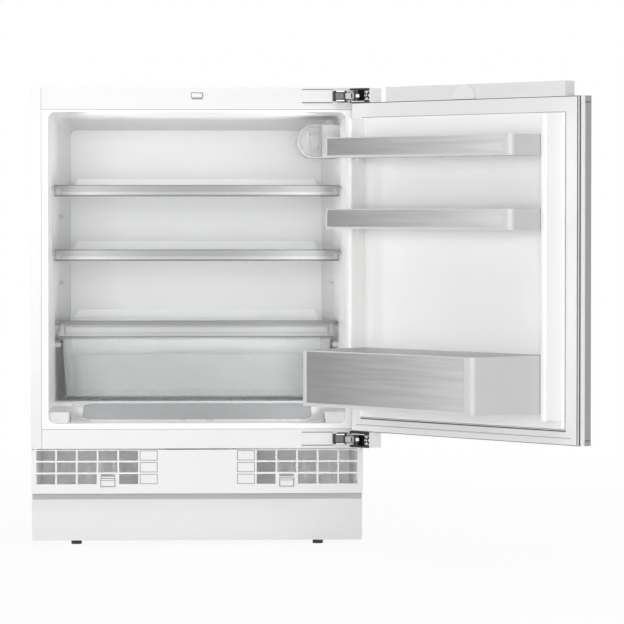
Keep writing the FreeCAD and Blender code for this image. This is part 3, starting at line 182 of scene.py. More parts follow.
def spangled_finish(name, color, rough, metal, contrast):
    """Hot-dip galvanised sheet: crystal patches that differ a little in tone and gloss."""
    material, tree, shader = new_material(name)
    coords = tree.nodes.new("ShaderNodeTexCoord")
    crystals = tree.nodes.new("ShaderNodeTexVoronoi")
    crystals.inputs["Scale"].default_value = CRYSTAL_SCALE
    tone = tree.nodes.new("ShaderNodeSeparateXYZ")
    tree.links.new(coords.outputs["Object"], crystals.inputs["Vector"])
    tree.links.new(crystals.outputs["Color"], tone.inputs["Vector"])
    patches = ramp(tree, tone.outputs["X"], shade(color, -contrast), shade(color, contrast), 0.0, 1.0)
    tree.links.new(patches, shader.inputs["Base Color"])
    gloss(tree, shader, tone.outputs["Y"], rough - CRYSTAL_GLOSS, rough + CRYSTAL_GLOSS)
    fine = object_noise(tree, SHEET_GRAIN, SHEET_DETAIL)
    add_bump(tree, shader, fine, SHEET_BUMP, SHEET_DEPTH)
    shader.inputs["Metallic"].default_value = metal
    return material


def clear_finish(name, color, rough, transmission, ior, bump=0.02):
    """Glass or clear plastic."""
    material, tree, shader = new_material(name)
    cloud = object_noise(tree, CLEAR_CLOUD)
    tint(tree, shader, cloud, color, CLEAR_VARY)
    gloss(tree, shader, cloud, rough * (1 - CLEAR_GLOSS), rough * (1 + CLEAR_GLOSS))
    fine = object_noise(tree, CLEAR_GRAIN, GRAIN_DETAIL)
    add_bump(tree, shader, fine, bump, FINE_DEPTH)
    shader.inputs["Transmission Weight"].default_value = transmission
    shader.inputs["IOR"].default_value = ior
    return material


def zoned_finish(name, color, rough, grain, zones):
    """Plastic with zones of another colour, each bounded by planes (axis, comparison, border)."""
    material = solid_finish(name, color, rough, grain, ZONE_BUMP)
    tree = material.node_tree
    shader = tree.nodes["Principled BSDF"]
    axes = object_axes(tree)
    for planes, zone_color in zones:
        inside = tree.nodes.new("ShaderNodeMath")
        inside.operation = "MULTIPLY"
        inside.inputs[0].default_value = 1.0
        inside.inputs[1].default_value = 1.0
        for index, (axis, comparison, border) in enumerate(planes):
            compare = tree.nodes.new("ShaderNodeMath")
            compare.operation = comparison
            compare.inputs[1].default_value = border
            tree.links.new(axes[axis], compare.inputs[0])
            tree.links.new(compare.outputs["Value"], inside.inputs[index])
        blend = tree.nodes.new("ShaderNodeMix")
        blend.data_type = "RGBA"
        blend.inputs["B"].default_value = (*zone_color, 1.0)
        before = shader.inputs["Base Color"].links[0].from_socket
        tree.links.new(inside.outputs["Value"], blend.inputs["Factor"])
        tree.links.new(before, blend.inputs["A"])
        tree.links.new(blend.outputs["Result"], shader.inputs["Base Color"])
    return material


def painted_sheen_finish(name, near, far, x0, x1):
    """Brushed metal with a painted sheen: its colour lightens along X."""
    material = brushed_finish(name, near, FRONT_ROUGH, FRONT_STRETCH, FRONT_VARY, FRONT_BUMP)
    tree = material.node_tree
    shader = tree.nodes["Principled BSDF"]
    along = map_range(tree, object_axes(tree)["X"], x0, x1, 1.0, far[0] / near[0])
    lighten = tree.nodes.new("ShaderNodeMix")
    lighten.data_type = "RGBA"
    lighten.blend_type = "MULTIPLY"
    lighten.inputs["Factor"].default_value = 1.0
    lines = shader.inputs["Base Color"].links[0].from_socket
    tree.links.new(lines, lighten.inputs["A"])
    tree.links.new(along, lighten.inputs["B"])
    tree.links.new(lighten.outputs["Result"], shader.inputs["Base Color"])
    return material


# Rear wall and floor of the liner, darker white as painted shade (the floor zone holds the sill corner
# blocks), and rear stops of the shelf trims
LINER_SHADE_ZONES = [
    ([("Y", "GREATER_THAN", 0.436)], (0.80, 0.80, 0.80)),
    ([("Y", "GREATER_THAN", 0.010), ("Z", "LESS_THAN", 0.246)], (0.70, 0.70, 0.70)),
]
TRIM_ZONES = [([("Y", "GREATER_THAN", 0.3)], (0.97, 0.97, 0.97))]
FINISH = {
    "white_enamel": solid_finish("white_enamel", (0.75, 0.75, 0.75), 0.30, 420.0, 0.03, coat=0.1),
    "zinc_sheet": spangled_finish("zinc_sheet", (0.80, 0.80, 0.81), 0.50, 0.0, 0.045),
    "zinc_panel": spangled_finish("zinc_panel", (0.74, 0.745, 0.75), 0.42, 0.7, 0.08),
    "white_plastic": solid_finish("white_plastic", (0.80, 0.80, 0.797), 0.38, 900.0, 0.05),
    "liner_white": zoned_finish("liner_white", (0.93, 0.93, 0.925), 0.30, 260.0, LINER_SHADE_ZONES),
    "foam": solid_finish("foam", (0.72, 0.62, 0.38), 0.85, 320.0, 0.6, 0.0015, vary=0.10),
    "bare_aluminium": brushed_finish("bare_aluminium", (0.70, 0.71, 0.72), 0.38, (0.2, 1.0, 3.0)),
    "grey_plastic": solid_finish("grey_plastic", (0.56, 0.57, 0.58), 0.42, 700.0, 0.10),
    "shelf_glass": clear_finish("shelf_glass", (0.92, 0.96, 0.95), 0.03, 1.0, 1.5),
    "trim_white": zoned_finish("trim_white", (0.19, 0.193, 0.196), 0.30, 600.0, TRIM_ZONES),
    "lamp_clear": clear_finish("lamp_clear", (0.80, 0.81, 0.81), 0.25, 0.75, 1.45, 0.10),
    "lamp_white": solid_finish("lamp_white", (0.92, 0.91, 0.88), 0.20, 300.0, 0.02),
    "hinge_dark": solid_finish("hinge_dark", (0.035, 0.036, 0.038), 0.42, 500.0, 0.12, metal=0.6, vary=0.2),
    "steel_pin": brushed_finish("steel_pin", (0.60, 0.60, 0.61), 0.22, (3.0, 3.0, 0.3)),
    "black_paint": solid_finish("black_paint", (0.018, 0.018, 0.019), 0.35, 380.0, 0.10, vary=0.2),
    "black_rubber": solid_finish("black_rubber", (0.016, 0.016, 0.016), 0.75, 600.0, 0.20, vary=0.15),
    "black_plastic": solid_finish("black_plastic", (0.020, 0.020, 0.021), 0.48, 800.0, 0.15, vary=0.15),
    "seal_white": solid_finish("seal_white", (0.80, 0.80, 0.795), 0.55, 500.0, 0.08),
    "edge_grey": solid_finish("edge_grey", (0.36, 0.36, 0.36), 0.40, 420.0, 0.05, metal=0.2),
    "drawer_clear": clear_finish("drawer_clear", (0.965, 0.97, 0.972), 0.10, 0.86, 1.2),
    "bin_white": solid_finish("bin_white", (0.61, 0.61, 0.608), 0.24, 420.0, 0.03),
    "hinge_grey": solid_finish("hinge_grey", (0.115, 0.12, 0.125), 0.38, 500.0, 0.10, metal=0.2, vary=0.1),
    "line_grey": solid_finish("line_grey", (0.10, 0.10, 0.102), 0.25, 500.0, 0.04),
    "band_grey": solid_finish("band_grey", (0.27, 0.273, 0.277), 0.25, 500.0, 0.04),
    "bead_grey": solid_finish("bead_grey", (0.055, 0.055, 0.056), 0.6, 500.0, 0.08),
    "zinc_bright": solid_finish("zinc_bright", (0.74, 0.745, 0.75), 0.34, 500.0, 0.06, metal=0.3, vary=0.04),
    "zinc_dull": solid_finish("zinc_dull", (0.36, 0.365, 0.37), 0.36, 500.0, 0.06, metal=0.4, vary=0.06),
    "cap_white": solid_finish("cap_white", (0.95, 0.95, 0.945), 0.35, 700.0, 0.04),
    "painted_shade_grey": solid_finish("painted_shade_grey", (0.44, 0.44, 0.44), 0.35, 400.0, 0.04),
    "shadow_strip_grey": solid_finish("shadow_strip_grey", (0.48, 0.48, 0.485), 0.55, 500.0, 0.06),
    "insert_grey": solid_finish("insert_grey", (0.24, 0.243, 0.247), 0.22, 500.0, 0.04, coat=0.2),
    "seam_and_shade_grey": solid_finish("seam_and_shade_grey", (0.24, 0.24, 0.24), 0.55, 500.0, 0.05),
    "tray_grey": solid_finish("tray_grey", (0.58, 0.58, 0.585), 0.28, 500.0, 0.04),
    "shadow_line_grey": solid_finish("shadow_line_grey", (0.10, 0.10, 0.10), 0.6, 500.0, 0.08),
    "lamp_grey": solid_finish("lamp_grey", (0.48, 0.48, 0.48), 0.30, 500.0, 0.04),
    "mat_grey": solid_finish("mat_grey", (0.24, 0.244, 0.25), 0.22, 300.0, 0.04, coat=0.3),
    # Bin fronts: painted sheen, the colour lightens along X
    "brushed_front": painted_sheen_finish("brushed_front", (0.30, 0.30, 0.305), (0.56, 0.56, 0.565), 0.22, 0.51),
}

OWN_FINISH = {
    "lamp_housing": "lamp_grey",
    "thermostat_knob": "lamp_grey",
    "floor_tray": "tray_grey",
    "door_frame": "cap_white",
    "rear_panel": "zinc_panel",
    "bottom_plate": "zinc_panel",
}
for part in frame["record"]["subparts"]:
    node = nodes[part["node"]]
    node.data.materials.clear()
    finish = OWN_FINISH.get(part["node"], part["material_slot"])
    node.data.materials.append(FINISH[finish])

# Small fittings
CORNER_STEPS = 4
EDGE_SHARE = 0.3
HEAD_STEPS = 32
HEAD_RINGS = ((1.0, 0.0), (1.0, 0.45), (0.86, 0.82), (0.62, 1.0), (0.58, 1.0), (0.36, 1.0), (0.14, 1.0))
RECESS_REACH = 0.6
RECESS_ARM = 0.16
RECESS_LEVEL = 0.35
BEAD_SIDES = 8


def piece(name, shape, slot, body, finish=None):
    """Shape carried by a body, in the finish of its slot or in one of its own."""
    mesh = bpy.data.meshes.new(name)
    shape.normal_update()
    shape.to_mesh(mesh)
    shape.free()
    item = bpy.data.objects.new(name, mesh)
    scene.collection.objects.link(item)
    mesh.materials.append(FINISH[finish or slot])
    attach(item, body)


def skin_loops(shape, loops):
    """Closed skin over stacked loops of points, with flat ends."""
    rows = [[shape.verts.new(point) for point in loop] for loop in loops]
    count = len(rows[0])
    for low, high in zip(rows[:-1], rows[1:]):
        for i in range(count):
            j = (i + 1) % count
            shape.faces.new((low[i], low[j], high[j], high[i]))
    shape.faces.new(rows[0][::-1])
    shape.faces.new(rows[-1])


def slab_loops(width, depth, height, radius, edge):
    """Plate on the XY plane with rounded corners and a softened upper edge."""
    soft = EDGE_SHARE * edge
    loops = []
    for inset, z in ((0.0, 0.0), (0.0, height - edge), (soft, height - soft), (edge, height)):
        loop = []
        for index, (sx, sy) in enumerate(((1, 1), (-1, 1), (-1, -1), (1, -1))):
            for step in range(CORNER_STEPS + 1):
                angle = math.pi / 2 * (index + step / CORNER_STEPS)
                r = radius - inset
                x = sx * (width / 2 - radius) + r * math.cos(angle)
                y = sy * (depth / 2 - radius) + r * math.sin(angle)
                loop.append(Vector((x, y, z)))
        loops.append(loop)
    return loops


def rivet_loops(radius, height):
    """Round head on the XY plane with a cross recess."""
    arm = RECESS_ARM * radius
    loops = []
    for share, level in HEAD_RINGS:
        loop = []
        for step in range(HEAD_STEPS):
            angle = 2 * math.pi * (step + 0.5) / HEAD_STEPS
            x = share * radius * math.cos(angle)
            y = share * radius * math.sin(angle)
            sunk = share < RECESS_REACH and min(abs(x), abs(y)) < arm
            loop.append(Vector((x, y, height * (RECESS_LEVEL if sunk else level))))
        loops.append(loop)
    return loops


def place(loops, matrix):
    return [[matrix @ point for point in loop] for loop in loops]


def add_slab(shape, slab, matrix):
    """Slab given as width, depth, height, corner radius and edge radius."""
    skin_loops(shape, place(slab_loops(*slab), matrix))


def ring(shape, x0, x1, z0, z1, y, radius, turn=None):
    """Bead round an upright rectangle."""
    rows = []
    for x, z, sx, sz in ((x0, z0, -1, -1), (x1, z0, 1, -1), (x1, z1, 1, 1), (x0, z1, -1, 1)):
        row = []
        for step in range(BEAD_SIDES):
            angle = 2 * math.pi / BEAD_SIDES * (step + 0.5)
            out = radius * math.cos(angle)
            point = Vector((x + sx * out, y + radius * math.sin(angle), z + sz * out))
            row.append(shape.verts.new(turn @ point if turn else point))
        rows.append(row)
    for i in range(len(rows)):
        a = rows[i]
        b = rows[(i + 1) % len(rows)]
        for j in range(BEAD_SIDES):
            k = (j + 1) % BEAD_SIDES
            shape.faces.new((a[j], b[j], b[k], a[k]))


# Places on the cabinet's front and on the open door
OPEN_ANGLE = math.radians(130.0)
PIN = Vector((0.287, -0.0225, 0.0))
DOOR_TURN = Matrix.Translation(PIN) @ Matrix.Rotation(OPEN_ANGLE, 4, "Z") @ Matrix.Translation(-PIN)
DOOR_EDGE_X = 0.280
DOOR_WIDTH = 0.558
DOOR_GAP = 0.0005
DOOR_T = 0.0345
FACE_FRONT = Matrix.Rotation(math.pi / 2, 4, "X")
FACE_BACK = Matrix.Rotation(-math.pi / 2, 4, "X")
FACE_EDGE = Matrix(((0, 0, -1, 0), (-1, 0, 0, 0), (0, 1, 0, 0), (0, 0, 0, 1)))
frame_low, frame_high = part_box("door_frame")


def on_front(x, y, z):
    """Place on an upright face that looks forward."""
    return Matrix.Translation((x, y, z)) @ FACE_FRONT


def on_door(u, t, z, facing):
    """Place on the open door: u from its hinge edge, t outward from its seal."""
    return DOOR_TURN @ Matrix.Translation((DOOR_EDGE_X - u, -DOOR_GAP - t, z)) @ facing


# Hinges: plates on the arm, neck and knuckle, bright bars and dark shoes on the arm that are painted
# highlights and painted shadows, edges of the cover, and fittings of the door leaf
UPPER_BASE_T = 0.003
LOWER_BASE_T = 0.006
CHANNEL_HALF = 0.00975
BLOCK_X = 0.257
BLOCK_Y = -0.014
ARM_PLATE = (0.0170, 0.0115, 0.0008, 0.0016, 0.0004)
ARM_HIGHLIGHT_BAR = (0.0155, 0.0024, 0.0009, 0.0010, 0.0004)
HIGHLIGHT_BAR_OFFSET = 0.0084
SHADOW_SHOE_X = 0.2610
SHADOW_SHOE_OFFSET = 0.0103
ARM_SHADOW_SHOE = (0.0200, 0.0018, 0.0050, 0.0008, 0.0004)
COVER_X = 0.216
COVER_W = 0.056
COVER_OFFSET = 0.01175
COVER_EDGE = (COVER_W, 0.0010, 0.0014, 0.0004, 0.0002)
NECK_TURN = Matrix.Rotation(math.radians(-27.5), 4, "Z")
NECK_AT = (0.2735, -0.0208)
NECK_PLATE = (0.0165, 0.0110, 0.0008, 0.0014, 0.0004)
SLOT_AT = (0.2770, -0.0235)
NECK_SLOT = (0.0026, 0.0080, 0.0006, 0.0010, 0.0002)
KNUCKLE_Y = -0.0289
KNUCKLE_PLATE = (0.0064, 0.0062, 0.0009, 0.0012, 0.0005)
PLATE_U = 0.027
ADJUSTER_T = 0.020
ADJUSTER_PLATE = (0.0200, 0.0170, 0.0034, 0.0020, 0.0006)
LINK_U = PLATE_U - 0.0035
LINK_T = 0.0166
LINK_TURN = 0.70
LINK_W = 0.0190
LINK_H = 0.0036
LINK_THICK = 0.0008
LINK_STEP = 0.0001
LINK_CORNER = 0.0016
LINK_EDGE = 0.0003
RIVET_T = 0.0158
RIVET_R = 0.0022
RIVET_H = 0.0008
LEAF_U1 = 0.042
LEAF_T0 = 0.006
STRIP_U = 0.0120
STRIP_DOWN = 0.0010
LEAF_STRIP = (0.0340, 0.0016, 0.0005, 0.0007, 0.0002)
LEAF_HEIGHT = 0.0225
LEAF_CAP_T = 0.0008
LEAF_CAP_CORNER = 0.0020
LEAF_CAP_EDGE = 0.0003

arm_plates = bmesh.new()
highlight_bars = bmesh.new()
shadow_shoes = bmesh.new()
neck_plates = bmesh.new()
neck_slots = bmesh.new()
knuckle_plates = bmesh.new()
cover_edges = bmesh.new()
adjuster_plates = bmesh.new()
links = bmesh.new()
link_rivets = bmesh.new()
leaf_strips = bmesh.new()
leaf_caps = bmesh.new()
for face_z, up, base_t in ((frame_high.z, 1, UPPER_BASE_T), (frame_low.z, -1, LOWER_BASE_T)):
    middle_z = face_z + up * (base_t + CHANNEL_HALF)
    add_slab(arm_plates, ARM_PLATE, on_front(BLOCK_X, BLOCK_Y, middle_z))
    for side in (-1, 1):
        # Bright bars along the arm block's top and bottom: painted highlights
        add_slab(highlight_bars, ARM_HIGHLIGHT_BAR, on_front(BLOCK_X, BLOCK_Y, middle_z + side * HIGHLIGHT_BAR_OFFSET))
        add_slab(cover_edges, COVER_EDGE, on_front(COVER_X, 0.0, middle_z + side * COVER_OFFSET))
        crossed = Matrix.Rotation(side * LINK_TURN, 4, "Z")
        link = (LINK_W, LINK_H, LINK_THICK + LINK_STEP * side, LINK_CORNER, LINK_EDGE)
        add_slab(links, link, on_door(LINK_U, LINK_T, middle_z, FACE_BACK) @ crossed)
    # Dark bar below the upper arm block and above the lower one: painted shadow
    add_slab(shadow_shoes, ARM_SHADOW_SHOE, on_front(SHADOW_SHOE_X, 0.0, middle_z - up * SHADOW_SHOE_OFFSET))
    add_slab(neck_plates, NECK_PLATE, Matrix.Translation((*NECK_AT, middle_z)) @ NECK_TURN @ FACE_FRONT)
    add_slab(neck_slots, NECK_SLOT, Matrix.Translation((*SLOT_AT, middle_z)) @ NECK_TURN @ FACE_FRONT)
    add_slab(knuckle_plates, KNUCKLE_PLATE, on_front(PIN.x, KNUCKLE_Y, middle_z))
    add_slab(adjuster_plates, ADJUSTER_PLATE, on_door(PLATE_U, ADJUSTER_T, middle_z, FACE_BACK))
    at_rivet = on_door(LINK_U, RIVET_T, middle_z, FACE_BACK)
    skin_loops(link_rivets, place(rivet_loops(RIVET_R, RIVET_H), at_rivet))
    strip_z = face_z + up * (base_t - STRIP_DOWN)
    add_slab(leaf_strips, LEAF_STRIP, on_door(STRIP_U, LEAF_T0, strip_z, FACE_BACK))
    cap_height = base_t + LEAF_HEIGHT
    leaf_cap = (DOOR_T - LEAF_T0, cap_height, LEAF_CAP_T, LEAF_CAP_CORNER, LEAF_CAP_EDGE)
    at_cap = on_door(LEAF_U1, (LEAF_T0 + DOOR_T) / 2, face_z + up * cap_height / 2, FACE_EDGE)
    add_slab(leaf_caps, leaf_cap, at_cap)
piece("hinge_arm_plates", arm_plates, "hinge_dark", "cabinet", "hinge_grey")
piece("hinge_arm_highlight_bars", highlight_bars, "steel_pin", "cabinet", "zinc_bright")
piece("hinge_arm_shadow_shoes", shadow_shoes, "hinge_dark", "cabinet")
piece("hinge_neck_plates", neck_plates, "steel_pin", "cabinet", "zinc_dull")
piece("hinge_neck_slots", neck_slots, "hinge_dark", "cabinet")
piece("hinge_knuckle_plates", knuckle_plates, "steel_pin", "cabinet", "zinc_bright")
piece("hinge_cover_edges", cover_edges, "hinge_dark", "cabinet")
piece("hinge_adjuster_plates", adjuster_plates, "steel_pin", "door", "zinc_bright")
piece("hinge_links", links, "hinge_dark", "door")
piece("hinge_link_rivets", link_rivets, "steel_pin", "door")
piece("hinge_leaf_strips", leaf_strips, "steel_pin", "door", "zinc_bright")
piece("hinge_leaf_caps", leaf_caps, "white_plastic", "door", "cap_white")

# Door seal: beads in its side groove, in its root and along its inner lip (inset, depth, radius),
# and two strips low on the door; the lip bead and the strips are painted shadow and painted shade of the seal
GROOVE_BEAD = (0.0020, 0.0019, 0.0011)
ROOT_BEAD = (0.0015, 0.0080, 0.0012)
LIP_BEAD = (0.0273, 0.0002, 0.0006)
LIP_SHADOW_UP = 0.0245
LIP_SHADOW_STRIP = (DOOR_WIDTH - 0.0510, 0.0022, 0.0003, 0.0008, 0.0001)
LOWER_SHADE_UP = 0.0130
LOWER_SHADE_STRIP = (DOOR_WIDTH - 0.0280, 0.0016, 0.0003, 0.0006, 0.0001)


def door_bead(shape, inset, depth, radius):
    """Bead round the shut door, turned open with it."""
    x0 = DOOR_EDGE_X - DOOR_WIDTH + inset
    x1 = DOOR_EDGE_X - inset
    ring(shape, x0, x1, frame_low.z + inset, frame_high.z - inset, -DOOR_GAP - depth, radius, DOOR_TURN)


groove_beads = bmesh.new()
door_bead(groove_beads, *GROOVE_BEAD)
door_bead(groove_beads, *ROOT_BEAD)
piece("seal_groove_beads", groove_beads, "black_rubber", "door", "bead_grey")
lip_shadow_bead = bmesh.new()
door_bead(lip_shadow_bead, *LIP_BEAD)
# Dark strip low on the door: painted shadow of the seal's inner lip
add_slab(lip_shadow_bead, LIP_SHADOW_STRIP, on_door(DOOR_WIDTH / 2, 0.0, frame_low.z + LIP_SHADOW_UP, FACE_BACK))
piece("seal_lip_shadow_bead", lip_shadow_bead, "seal_white", "door", "shadow_line_grey")
# Grey strip below it: painted shade of the seal's groove
lower_shade_strip = bmesh.new()
add_slab(lower_shade_strip, LOWER_SHADE_STRIP, on_door(DOOR_WIDTH / 2, 0.0, frame_low.z + LOWER_SHADE_UP, FACE_BACK))
piece("seal_lower_shade_strip", lower_shade_strip, "seal_white", "door", "painted_shade_grey")

# End caps of the door's free edge
UPPER_CAP_H = 0.0100
LOWER_CAP_H = 0.0080
CAP_THICK = 0.0008
CAP_EDGE = 0.0004
CORNER_CAP_T = 0.0135
CORNER_CAP_W = 0.0086
CORNER_CAP_R = 0.0014
STRIP_CAP_T = 0.0252
STRIP_CAP_W = 0.0130
STRIP_CAP_R = 0.0012
LINE_GAP = 0.0008
CAP_LINE = (STRIP_CAP_W, 0.0012, 0.0005, 0.0005, 0.0002)
corner_caps = bmesh.new()
strip_caps = bmesh.new()
cap_lines = bmesh.new()
for z, height, up in ((frame_high.z, UPPER_CAP_H, 1), (frame_low.z, LOWER_CAP_H, -1)):
    cap_z = z - up * height / 2
    corner_cap = (CORNER_CAP_W, height, CAP_THICK, CORNER_CAP_R, CAP_EDGE)
    add_slab(corner_caps, corner_cap, on_door(DOOR_WIDTH, CORNER_CAP_T, cap_z, FACE_EDGE))
    strip_cap = (STRIP_CAP_W, height, CAP_THICK, STRIP_CAP_R, CAP_EDGE)
    add_slab(strip_caps, strip_cap, on_door(DOOR_WIDTH, STRIP_CAP_T, cap_z, FACE_EDGE))
    line_z = z - up * (height + LINE_GAP)
    add_slab(cap_lines, CAP_LINE, on_door(DOOR_WIDTH, STRIP_CAP_T, line_z, FACE_EDGE))
piece("door_corner_caps", corner_caps, "white_plastic", "door", "cap_white")
piece("door_strip_caps", strip_caps, "edge_grey", "door")
piece("door_cap_lines", cap_lines, "edge_grey", "door", "bead_grey")

# Dark lower edge, grey band and slanted ends of the shelf rails
SHELVES = (("upper_shelf", "upper_shelf"), ("lower_shelf", "lower_shelf"), ("crisper_shelf", "cabinet"))
RAIL_LINE_UP = 0.0020
RAIL_LINE = (0.0018, 0.0006, 0.0007, 0.0003)
RAIL_LINE_SHORT = 0.004
RAIL_BAND_UP = 0.0058
RAIL_BAND = (0.0050, 0.0004, 0.0012, 0.0002)
RAIL_BAND_SHORT = 0.026
END_OUTER = 0.0005
END_INNER = 0.0120
END_SLANT = 0.004
END_UP = 0.0035
END_DOWN = 0.001
END_THICK = 0.0006
INSERT_UP = 0.0145
INSERT = (0.0110, 0.0005, 0.0020, 0.0003)
INSERT_SHORT = 0.028
for shelf, body in SHELVES:
    low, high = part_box(shelf + "_trims")
    rail_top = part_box(shelf + "_glass")[1].z
    line = bmesh.new()
    rail_line = (2 * high.x - RAIL_LINE_SHORT, *RAIL_LINE)
    add_slab(line, rail_line, on_front(0.0, low.y, low.z + RAIL_LINE_UP))
    piece(shelf + "_rail_line", line, "trim_white", body, "line_grey")
    band = bmesh.new()
    rail_band = (2 * high.x - RAIL_BAND_SHORT, *RAIL_BAND)
    add_slab(band, rail_band, on_front(0.0, low.y, low.z + RAIL_BAND_UP))
    piece(shelf + "_rail_band", band, "trim_white", body, "band_grey")
    ends = bmesh.new()
    for side in (-1, 1):
        outer = side * (high.x - END_OUTER)
        inner = side * (high.x - END_INNER)
        end_z = low.z + END_UP
        corners = ((outer, end_z), (inner, end_z), (inner + side * END_SLANT, rail_top - END_DOWN))
        loops = [[Vector((x, y, z)) for x, z in corners] for y in (low.y, low.y - END_THICK)]
        if side > 0:
            loops = loops[::-1]
        skin_loops(ends, loops)
    piece(shelf + "_rail_ends", ends, "trim_white", body, "insert_grey")
low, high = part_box("crisper_shelf_trims")
insert = bmesh.new()
add_slab(insert, (2 * high.x - INSERT_SHORT, *INSERT), on_front(0.0, low.y, low.z + INSERT_UP))
piece("crisper_rail_insert", insert, "trim_white", "cabinet", "insert_grey")

# Rim round the switch button, with a shaded lower edge
RIM = 0.0007
RIM_DROP = 0.0022
RIM_SHADE = (0.0020, 0.0006, 0.0008, 0.0002)
fascia_low, fascia_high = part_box("top_fascia")
button_low, button_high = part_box("switch_button")
switch_rim = bmesh.new()
rim_x = (button_low.x - RIM, button_high.x + RIM)
rim_z = (button_low.z - RIM, button_high.z + RIM)
ring(switch_rim, *rim_x, *rim_z, fascia_low.y, RIM)
rim_middle = (button_low.x + button_high.x) / 2
rim_shade = (button_high.x - button_low.x, *RIM_SHADE)
add_slab(switch_rim, rim_shade, on_front(rim_middle, fascia_low.y, button_low.z - RIM_DROP))
piece("switch_rim", switch_rim, "white_plastic", "cabinet", "band_grey")

# Sealing strips in the seams round the fascias, dark grey that also stands for the shade in the seams
SEAM = 0.0008
SEAM_CORNER = 0.0003
SEAM_EDGE = 0.0001
SIDE_SEAM_Y = 0.0010
SIDE_SEAM_T = 0.0008
CROSS_SEAM_Y = 0.0005
CROSS_SEAM_T = 0.0006
sill_low, sill_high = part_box("bottom_fascia")
seams = bmesh.new()
side_seam = (SEAM, fascia_high.z - sill_low.z, SIDE_SEAM_T, SEAM_CORNER, SEAM_EDGE)
cross_seam = (2 * fascia_high.x, SEAM, CROSS_SEAM_T, SEAM_CORNER, SEAM_EDGE)
middle_z = (fascia_high.z + sill_low.z) / 2
for side in (-1, 1):
    add_slab(seams, side_seam, on_front(side * (fascia_high.x + SEAM / 2), SIDE_SEAM_Y, middle_z))
for z in (fascia_low.z, sill_high.z):
    add_slab(seams, cross_seam, on_front(0.0, CROSS_SEAM_Y, z))
piece("fascia_seam_strips", seams, "seal_white", "cabinet", "seam_and_shade_grey")

# Edges of the latches and of the blind cells of the plinth grille, dark beads that are painted shade in their
# gaps and recesses
LATCH_HALF = 0.0125
LATCH_TOP = 0.0028
LATCH_FOOT = 0.0042
LATCH_GRIP = 0.0062
LATCH_BEAD_R = 0.0005
GRIP_BEAD_R = 0.0004
CELL_ROWS = 3
CELL_TOP = 0.0016
CELL_PITCH = 0.0212
CELL_INNER = 0.0722
CELL_OUTER = 0.1030
CELL_MARGIN = 0.0006
CELL_FOOT = 0.0174
CELL_BEAD_R = 0.0005
for side in ("left", "right"):
    low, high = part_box("grille_latch_" + side)
    middle = (low.x + high.x) / 2
    latch_x = (middle - LATCH_HALF, middle + LATCH_HALF)
    edge = bmesh.new()
    ring(edge, *latch_x, low.z + LATCH_FOOT, high.z - LATCH_TOP, low.y, LATCH_BEAD_R)
    ring(edge, *latch_x, high.z - LATCH_GRIP, high.z - LATCH_TOP, low.y, GRIP_BEAD_R)
    piece("latch_edge_" + side, edge, "white_plastic", "latch_" + side, "shadow_line_grey")
grille_low, grille_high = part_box("plinth_grille")
cell_y = grille_low.y + CELL_MARGIN
blind_edges = bmesh.new()
for row in range(CELL_ROWS):
    z1 = grille_high.z - CELL_TOP - CELL_PITCH * row
    for side in (-1, 1):
        cell_x = sorted((side * CELL_OUTER, side * CELL_INNER))
        ring(blind_edges, *cell_x, z1 - CELL_FOOT, z1 - CELL_MARGIN, cell_y, CELL_BEAD_R)
piece("blind_cell_edges", blind_edges, "white_plastic", "cabinet", "seam_and_shade_grey")

# Ends of the ledges and drawer runners moulded on the side walls, under grey plates that are painted shade
# darkening these lit ends
LEDGE_IN = 0.2520
LEDGE_T = 0.0060
RUNNER_T = 0.0075
SPARE_LEDGE_Y = 0.330
SPARE_LEDGE_W = 0.0066
SPARE_LEDGE_UP = 0.010
RUNNER_Y = 0.190
RUNNER_W = 0.0104
RUNNER_DOWN = 0.0072
COVER_LEDGE_Y = 0.200
COVER_LEDGE_W = 0.0100
END_OVERLAP = 0.0004
END_SHADE_PLATE = (0.0003, 0.0010, 0.0001)
upper_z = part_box("upper_shelf_glass")[0].z
lower_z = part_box("lower_shelf_glass")[0].z
cover_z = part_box("crisper_shelf_glass")[0].z
runner_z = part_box("crisper_drawer")[1].z - RUNNER_DOWN
ledge_shade_plates = bmesh.new()
for y, top_z, height, width in (
    (SPARE_LEDGE_Y, (upper_z + lower_z) / 2 + SPARE_LEDGE_UP, LEDGE_T, SPARE_LEDGE_W),
    (SPARE_LEDGE_Y, (lower_z + cover_z) / 2 + SPARE_LEDGE_UP, LEDGE_T, SPARE_LEDGE_W),
    (COVER_LEDGE_Y, cover_z, LEDGE_T, COVER_LEDGE_W),
    (RUNNER_Y, runner_z, RUNNER_T, RUNNER_W),
):
    ledge_shade_plate = (width + END_OVERLAP, height - END_OVERLAP, *END_SHADE_PLATE)
    for side in (-1, 1):
        add_slab(ledge_shade_plates, ledge_shade_plate, on_front(side * (LEDGE_IN + width / 2), y, top_z - height / 2))
piece("ledge_shade_plates", ledge_shade_plates, "liner_white", "cabinet", "painted_shade_grey")

# Grey strip along the top of the toe-kick below the grille: painted shadow of the grille's overhang
TOE_SHADOW_DOWN = 0.0055
TOE_SHADOW_SHORT = 0.001
TOE_SHADOW = (0.0125, 0.0006, 0.0008, 0.0003)
toe_low, toe_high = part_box("toe_kick")
toe_shadow = bmesh.new()
shadow_slab = (2 * toe_high.x - TOE_SHADOW_SHORT, *TOE_SHADOW)
add_slab(toe_shadow, shadow_slab, on_front(0.0, toe_low.y, grille_low.z - TOE_SHADOW_DOWN))
piece("toe_kick_shadow_strip", toe_shadow, "grey_plastic", "cabinet", "shadow_strip_grey")

